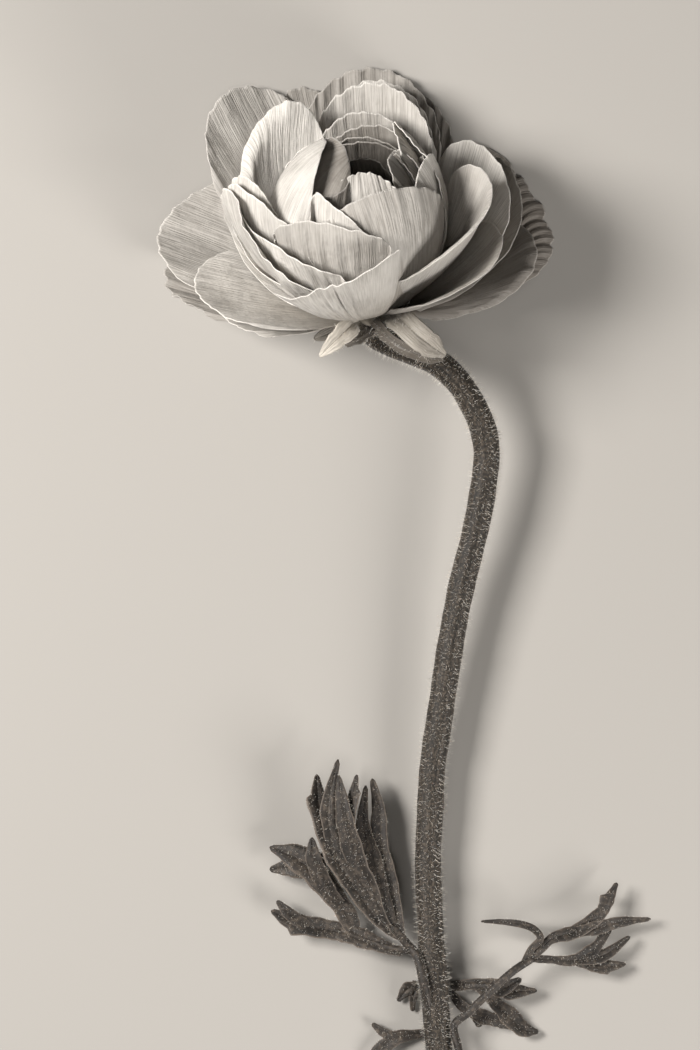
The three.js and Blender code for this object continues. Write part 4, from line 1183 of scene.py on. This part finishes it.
def lobe_body(lobe, seed, rows_per_span=12, columns=13):
    """A lobe as (points, faces, uvs, numbers): folded on its midrib, waved and drawn to a point.

    share is how much of its width lies on the left of the midrib, and fold how far it folds up."""
    spans = len(lobe["path"]) - 1
    rows = spans * rows_per_span + 1
    u = np.linspace(0, spans, rows)
    centre = smooth_path(lobe["path"], rows)
    half_width = (lobe_width(lobe["wide"], u, seed) / 2)[:, None, None]
    left, right = lobe_teeth(lobe.get("teeth", []), centre)
    ahead = unit(np.gradient(centre, axis=0))
    side = unit(np.cross(ahead, [0, 0, 1.0]))
    tilt = math.radians(lobe.get("tilt", 0))
    side = side * math.cos(tilt) + np.cross(ahead, side) * math.sin(tilt)
    up = np.cross(side, ahead)
    v = np.linspace(-1, 1, columns)[None, :, None]
    share = lobe.get("share", 0.5)
    across = v * np.where(v < 0, 2 * share, 2 - 2 * share) * half_width
    across = across + v * np.where(v < 0, left, right)
    steep = lobe.get("fold", 0.28)
    fold = steep * np.abs(v) ** 1.2 - 0.6 * steep * np.abs(v) ** 5
    groove = -0.10 * np.exp(-((v / 0.12) ** 2))
    wave = 0.06 * np.sin(u * 4.3 + seed)[:, None, None] * v
    rise = (fold + groove + wave) * half_width
    middle = centre[:, None, :] + across * side[:, None, :] + rise * up[:, None, :]
    middle[..., 2] = np.maximum(middle[..., 2], LEAF_THICK / 2)
    thickness = LEAF_THICK * (1 - 0.5 * np.abs(v[..., 0]) ** 3) * np.ones((rows, 1))
    points, faces = close_blade(middle[:, ::-1], thickness[:, ::-1])
    points[:, 2] = np.maximum(points[:, 2], 0)
    uv = np.stack(np.meshgrid(np.linspace(0, 1, columns), u / 4), -1).reshape(-1, 2)
    return points, faces, np.concatenate([uv, uv]), {}


# %% [markdown]
# The lobes sit on round stalks. A stalk is a ring of points that is carried along its path and closed
# by a fan of triangles at both ends. Stalks and lobes of a leaf then make one piece.

# %% The shape of a leaf stalk, and a whole leaf
STALK_SIDES = 14
STALK_ROWS = 8


def stalk_body(path, radius):
    """A leaf stalk as (points, faces, uvs, numbers), closed at both ends."""
    rows, sides = (len(path) - 1) * STALK_ROWS + 1, STALK_SIDES
    centre = smooth_path(path, rows)
    ahead = unit(np.gradient(centre, axis=0))
    side = unit(np.cross(ahead, [0, 0, 1.0]))
    up = np.cross(side, ahead)
    a = np.linspace(0, 2 * math.pi, sides, endpoint=False)
    ring = np.cos(a)[None, :, None] * side[:, None, :] + np.sin(a)[None, :, None] * up[:, None, :]
    points = (centre[:, None, :] + radius * ring).reshape(-1, 3)
    points[:, 2] = np.maximum(points[:, 2], 0)
    i, k = np.meshgrid(np.arange(rows - 1), np.arange(sides), indexing="ij")
    n = (k + 1) % sides
    faces = np.stack([i * sides + k, i * sides + n, (i + 1) * sides + n, (i + 1) * sides + k], -1)
    faces = faces.reshape(-1, 4)[:, ::-1]
    first, last = len(points), len(points) + 1
    here = np.arange(sides)
    there = (here + 1) % sides
    end_row = (rows - 1) * sides
    cap0 = np.stack([np.full(sides, first), here, there, there], 1)
    cap1 = np.stack([np.full(sides, last), end_row + there, end_row + here, end_row + here], 1)
    points = np.concatenate([points, [centre[0], centre[-1]]])
    uv = np.stack(np.meshgrid(a / (2 * math.pi), np.arange(rows) / 20), -1).reshape(-1, 2)
    uv = np.concatenate([uv, [[0, 0], [0, 1]]])
    return points, np.concatenate([faces, cap0, cap1]), uv, {}


def leaf_mesh(name, leaf):
    """All stalks and lobes of a leaf in one mesh."""
    bodies = [stalk_body(path, radius) for path, radius in leaf["stalks"]]
    bodies += [lobe_body(lobe, 1.7 * k) for k, lobe in enumerate(leaf["lobes"])]
    points, faces, uvs, _ = stack(bodies)
    faces = [tuple(dict.fromkeys(face)) for face in faces.tolist()]
    return mesh_from(name, points, faces, uvs, {}, leaf_skin)


def make_leaf(node, leaf):
    """The leaf as one piece that stands for the node, with short hairs on it."""
    name = node + "_blades"
    piece = link_piece(name, leaf_mesh(name, leaf))
    dress(piece, node)
    add_hairs(piece, node, density=1.8e6, length=0.0006)


# %% [markdown]
# The sepals are five small blades under the bloom, bent back. Each is a folded blade on a path of
# its own, as a lobe is, only smoother and paler. The widest one is folded so sharply that it is
# made of two blades along its midrib: one turned to the dark side and painted darker as painted shade,
# and one to the light.

# %% The sepals
sepal_tissue = petal_material("sepal_tissue", (0.62, 0.575, 0.51), (0.045, 0.036, 0.028), 0.5, 0.4, 0.12)
# shade: each sepal's tone; the dark half of the widest sepal, the third line, is dark as painted shade.
sepals = [
    dict(path=[(3.5, 45, 19.5), (1.5, 45, 22.5), (-0.5, 43.3, 28), (-3.5, 40.2, 31.5), (-6.7, 37, 32)],
         wide=[3.5, 4.8, 4.8, 4.0, 0.9], tilt=-12, fold=0.35, shade=1.0),
    dict(path=[(4.5, 44, 20), (3.5, 43, 23.5), (1.5, 41.4, 26), (-1, 39.7, 26.5)],
         wide=[3, 3.6, 3.2, 1.2], tilt=10, fold=-0.3, shade=0.15),
    dict(path=[(4.8, 46, 21), (6, 44.4, 25.5), (8, 41.8, 29), (11, 39.4, 31), (14.8, 37.6, 32),
               (18, 36.6, 32.3), (20.6, 36.3, 32.2)],
         wide=[2.4, 3.2, 3.8, 4, 3.8, 3, 0.8], tilt=48, fold=0.25, shade=0.12),
    dict(path=[(6, 46.4, 20), (8.6, 46.6, 25), (11, 45.4, 30), (13.2, 43.4, 32.6), (15.8, 41, 33.6),
               (18.6, 38.9, 33.6), (20.9, 37.2, 32.8)],
         wide=[3, 5, 6.6, 7, 6.4, 5, 1.1], tilt=-12, fold=0.3, share=0.45, shade=0.5),
    dict(path=[(5.5, 43.5, 16), (7, 42, 11), (9, 40, 7)], wide=[3.5, 5, 1], fold=0.3, shade=0.4),
    dict(path=[(3, 44.5, 17), (-2.5, 43.5, 14.5), (-8, 41.5, 13.5)], wide=[3.5, 5, 1], fold=0.3,
         shade=0.5),
]


def sepal_body(sepal, seed):
    """A sepal as a smooth lobe, with the numbers that the petals' shader reads."""
    points, faces, uvs, _ = lobe_body(sepal, seed, rows_per_span=14, columns=17)
    uvs = uvs * (1, 0.6)
    numbers = plain_numbers(len(points), 0.8, sepal["shade"])
    numbers["seed"] += seed
    numbers["margin"] = numbers["margin"] / PLAIN_MARGIN * max(sepal["wide"])
    return points, faces, uvs, numbers


points, faces, uvs, numbers = stack([sepal_body(sepal, 9 + 2 * k) for k, sepal in enumerate(sepals)])
sepal_piece = link_piece("sepals", mesh_from("sepals", points, faces, uvs, numbers, sepal_tissue))
dress(sepal_piece, "calyx")
add_hairs(sepal_piece, "calyx", density=0.9e6, length=0.001)

# %% [markdown]
# The sepals spring from a small round disc that closes the bloom off below, where the stem begins.

# %% The disc under the bloom
disc_profile = [(0, -6.2), (2.2, -6.2), (3.0, -5.6), (3.6, -4.4), (3.4, -3.9), (0, -3.9)]
points, faces = turned(disc_profile)
disc = mesh_from("calyx_disc", points, faces, np.full((len(points), 2), 0.3),
                 plain_numbers(len(points), 0.8, 0.2), sepal_tissue)
disc_piece = link_piece("calyx_disc", disc)
dress(disc_piece, "calyx")
add_hairs(disc_piece, "calyx", density=2.5e6)

# %% [markdown]
# The left leaf stands up from its stalk in two fans, a tall one towards the bloom and a low one
# to the left. The lobes are listed from the stalk outwards.

# %% Leaf left
leaf_left = dict(
    stalks=[
        ([(17.5, -108, 7), (16.6, -103, 8.8), (15, -96.5, 7.6), (13, -94.5, 6.5)], 1.1),
        ([(13.5, -95.5, 6.8), (9, -95, 6), (4, -93.5, 5.2), (-2, -91, 5)], 0.9),
        ([(14, -95.5, 7), (12, -93, 7), (9.5, -90, 7.5)], 1),
    ],
    lobes=[
        dict(path=[(11, -92.5, 7), (7.5, -90, 8), (1.5, -82, 9.5), (-3.5, -73.5, 10), (-7, -63, 9),
                   (-7.5, -56, 7)], wide=[1.6, 2.4, 4.5, 5.6, 5, 1], tilt=25, teeth=[(5.5, 0, 1)]),
        dict(path=[(-3.5, -73.5, 10), (-5, -64, 10), (-2.7, -52.5, 9)], wide=[3, 3.6, 1], tilt=10),
        dict(path=[(11, -92, 7), (8, -89.5, 8), (4.5, -81, 9), (1.5, -75, 10), (-1, -66, 11),
                   (-2.5, -56, 10)], wide=[1.6, 2.2, 3.6, 4.8, 4.6, 0.9], tilt=-20),
        dict(path=[(-0.5, -68, 10.5), (0.5, -62, 10), (1.6, -56, 8.5)], wide=[3, 3, 0.8], tilt=-30,
             teeth=[(4, 1, 0.8)]),
        dict(path=[(11.5, -92.5, 7), (10, -91, 7.4), (7.5, -83, 8), (4.5, -73.5, 7.5), (2.8, -68, 7),
                   (3.5, -58.5, 6)], wide=[1.6, 2, 3, 4.2, 3.6, 0.9], tilt=20),
        dict(path=[(11.7, -92.5, 7), (11, -89, 7), (9.4, -81, 6.5), (6.8, -71.5, 6), (6.4, -63.5, 5.6),
                   (5, -57, 5)], wide=[1.6, 2.2, 3.2, 4, 3.2, 0.9], tilt=-15),
        dict(path=[(1, -92.5, 5), (-0.5, -88, 5.5), (-5.5, -81, 6.5), (-11.5, -75, 6), (-18, -72.5, 4)],
             wide=[3, 4.4, 5.2, 6.5, 1], tilt=12),
        dict(path=[(-8, -78, 6.3), (-13, -77, 5.5), (-18, -77.5, 3.8)], wide=[3.4, 4.6, 1], tilt=5),
        dict(path=[(-2.5, -85, 6), (-4.8, -82, 7), (-8, -75, 8.5), (-8.5, -70, 8.5)],
             wide=[3, 3.8, 4.2, 0.9], tilt=-18),
        dict(path=[(-6, -78.5, 7.5), (-6, -75, 8.5), (-3.6, -72.3, 8)], wide=[2.4, 2.6, 0.8]),
        dict(path=[(11.5, -96.2, 6.3), (7, -94.5, 5.9), (3, -93, 5.6), (-0.5, -91.7, 5.2), (-4.7, -91, 4.8),
                   (-12.3, -89.5, 4.5), (-17.7, -86.8, 3.5)], wide=[1.6, 3.2, 4.4, 4.6, 4.4, 4.6, 1],
             tilt=15, teeth=[(6, 0, 0.9)]),
        dict(path=[(-10, -90, 4.6), (-13.5, -87.5, 5), (-16.4, -84.5, 4.4)], wide=[2.4, 3, 0.8]),
    ],
)
make_leaf("leaf_left", leaf_left)

# %% [markdown]
# The right leaf is small, lies on the table and passes under the stem.

# %% Leaf right
leaf_right = dict(
    stalks=[
        ([(14, -103.5, 1.1), (18, -104, 1), (22.8, -104.3, 1.2), (26, -104, 2)], 0.9),
    ],
    lobes=[
        dict(path=[(22.8, -103.8, 1.4), (30.5, -103.2, 4), (34, -104, 5), (38.5, -102, 5)],
             wide=[2, 2.8, 4.4, 0.9], tilt=10),
        dict(path=[(30.5, -103.5, 4), (36, -104.8, 4.2), (42, -104.8, 3.4)], wide=[2.8, 4, 0.9], tilt=-8),
        dict(path=[(28.5, -103.8, 3), (32, -107, 3), (36, -110.8, 2.6), (39, -113.6, 2.2),
                   (42.4, -114.3, 1.6)], wide=[1.6, 2.6, 4.6, 3.6, 0.9], tilt=-12),
        dict(path=[(20, -104.3, 1.1), (22.8, -105.5, 1.6), (25.2, -108.2, 2.6), (29.6, -110.5, 3.2),
                   (33.9, -111.8, 2.6), (37.3, -113.6, 1.6)], wide=[1.6, 1.8, 2.2, 3.4, 3, 0.9], tilt=10),
        dict(path=[(27, -109.2, 3), (28.6, -111, 2.8), (29.2, -113, 2.2)], wide=[2, 2.4, 1.2]),
        dict(path=[(15.5, -103.7, 1.1), (13, -104.6, 1.6), (10.8, -107.3, 1.4)], wide=[1.8, 3.2, 0.9]),
        dict(path=[(15, -103.8, 1.1), (14.2, -106.5, 1.4), (14.1, -109.6, 1)], wide=[1.6, 1.8, 0.8]),
    ],
)
make_leaf("leaf_right", leaf_right)

# %% [markdown]
# The lower leaf leaves the cut end on a long thin stalk, crosses over the stem and opens at the
# right, with one small fan that lies under the stem at the left.

# %% Leaf lower
leaf_lower = dict(
    stalks=[
        ([(22, -136, 6.4), (24, -127, 7.6), (24.4, -118, 7.6), (23.4, -112.3, 6.6), (26.5, -109.5, 7),
          (31, -105, 8), (36.6, -100, 8), (41, -97.2, 7)], 0.9),
        ([(23.6, -113, 6.4), (23.6, -113.2, 3), (22.6, -113.4, 1.1), (19.5, -113.5, 0.9),
          (15.9, -114.5, 0.9)], 0.6),
    ],
    lobes=[
        dict(path=[(39, -98.2, 7.4), (40.6, -95, 8), (42.6, -92.6, 8.5), (41.2, -90.6, 9),
                   (38.4, -89.5, 9), (34, -89, 8), (29.5, -89, 6.5)],
             wide=[1.8, 2.6, 3, 2.6, 1.9, 1.2, 0.6], tilt=15),
        dict(path=[(40, -97.3, 7.2), (41.6, -96.3, 7.2), (45.4, -92.8, 7), (50.7, -91.3, 6.2),
                   (56.3, -87.2, 5.6), (58.2, -84, 5.2), (60, -80.5, 4.4)],
             wide=[1.6, 1.8, 2.4, 3.4, 3, 2.6, 0.8], tilt=-10, teeth=[(4.2, 0, 0.7)]),
        dict(path=[(51, -91.3, 6.2), (56, -90.3, 5.6), (60, -89.3, 5), (67.6, -88.6, 3.6)],
             wide=[2.6, 3.4, 2.6, 0.8], tilt=12),
        dict(path=[(41, -97.3, 7), (45, -97.5, 6.4), (49.6, -97.8, 5.6), (53.5, -96.4, 5),
                   (58.8, -90.8, 3.8)], wide=[1.6, 1.8, 2.4, 3.6, 0.8], tilt=8, teeth=[(2.6, 0, 0.6)]),
        dict(path=[(49.6, -97.8, 5.6), (54, -97.5, 5), (57.4, -96.6, 4.4), (63, -92.6, 3.2)],
             wide=[2, 2.8, 3, 0.8], tilt=-8),
        dict(path=[(50.5, -98, 5.4), (55, -98.9, 4.4), (58.5, -99.2, 3.8), (62, -98.8, 3)],
             wide=[1.8, 3.2, 2.6, 0.8], teeth=[(4.3, 1, 0.7)]),
        dict(path=[(17.2, -114.1, 1), (15.9, -114.6, 1.2), (10.3, -115.6, 2), (7.2, -118, 1.8),
                   (3.5, -120.5, 1.2)], wide=[1.4, 1.8, 3.2, 3.6, 0.9], tilt=8),
        dict(path=[(11.5, -115.4, 1.9), (8, -114.6, 2), (5, -112.4, 1.4)], wide=[1.8, 2.4, 0.8]),
    ],
)
make_leaf("leaf_lower", leaf_lower)

# %% [markdown]
# The heart: a dark cone of carpels, seen only from above between the petals. It stands on a low bed
# that rises out of the receptacle. Cone and bed are turned, and one carpel goes on each of many points.

# %% The heart
heart_skin = leaf_material("heart_skin", (0.05, 0.038, 0.03), (0.012, 0.009, 0.008), margin_highlight=0.0)


def heart_piece(name, profile):
    """A turned piece of the heart, with the points and faces that it was made from."""
    points, faces = turned(profile)
    piece = link_piece(name, mesh_from(name, points, faces, points[:, :2] / 10, {}, heart_skin))
    dress(piece, "heart")
    return piece, points, faces


cone_profile = [(0, 6), (1.0, 6), (1.1, 14), (2.6, 16.5), (3.8, 19), (4.2, 22), (3.9, 24.5),
                (2.6, 26.6), (1.2, 27.6), (0, 28)]
cone, _, _ = heart_piece("carpel_cone", cone_profile)
carpel_sizes = {"Per square metre": 1.1e6, "Seed": 5, "Smallest": 0.7, "Largest": 1.0, "Lean": 0.25,
                "Length": 0.0011}
carpel_tree = scatter_tree("carpels_on_cone", heart_skin, carpel_sizes, "GeometryNodeMeshCone",
                           {"Vertices": 5, "Radius Top": 0.00008, "Radius Bottom": 0.0004})
carpels = grown(skin_copy(cone), carpel_tree, carpel_sizes, "carpels")
dress(carpels, "heart")

# %% [markdown]
# Each stamen is a thread that ends in a thicker anther, so it is a thin cone with its wide end up. They
# grow from the sloping ring on top of the bed, whose slope leans them outwards round the cone.

# %% The stamens
bed_profile = [(0, 3), (2.4, 3), (2.8, 5), (2.7, 7.6), (1.4, 8.1), (0, 8.3)]
_, points, faces = heart_piece("stamen_bed", bed_profile)
faces_per_side = len(bed_profile) - 1
sloping_ring = faces[faces_per_side - 1::faces_per_side]
ring = link_piece("stamen_ring", mesh_from("stamen_ring", points, sloping_ring))
stamen_skin = leaf_material("stamen_skin", (0.06, 0.046, 0.036), (0.012, 0.009, 0.008), margin_highlight=0.0)
stamen_sizes = {"Per square metre": 3.0e6, "Seed": 8, "Smallest": 0.8, "Largest": 1.0, "Lean": 0.12,
                "Length": 0.011}
stamen_tree = scatter_tree("stamens_on_ring", stamen_skin, stamen_sizes, "GeometryNodeMeshCone",
                           {"Vertices": 8, "Radius Top": 0.00042, "Radius Bottom": 0.00014})
stamens = grown(ring, stamen_tree, stamen_sizes, "stamens")
dress(stamens, "heart")
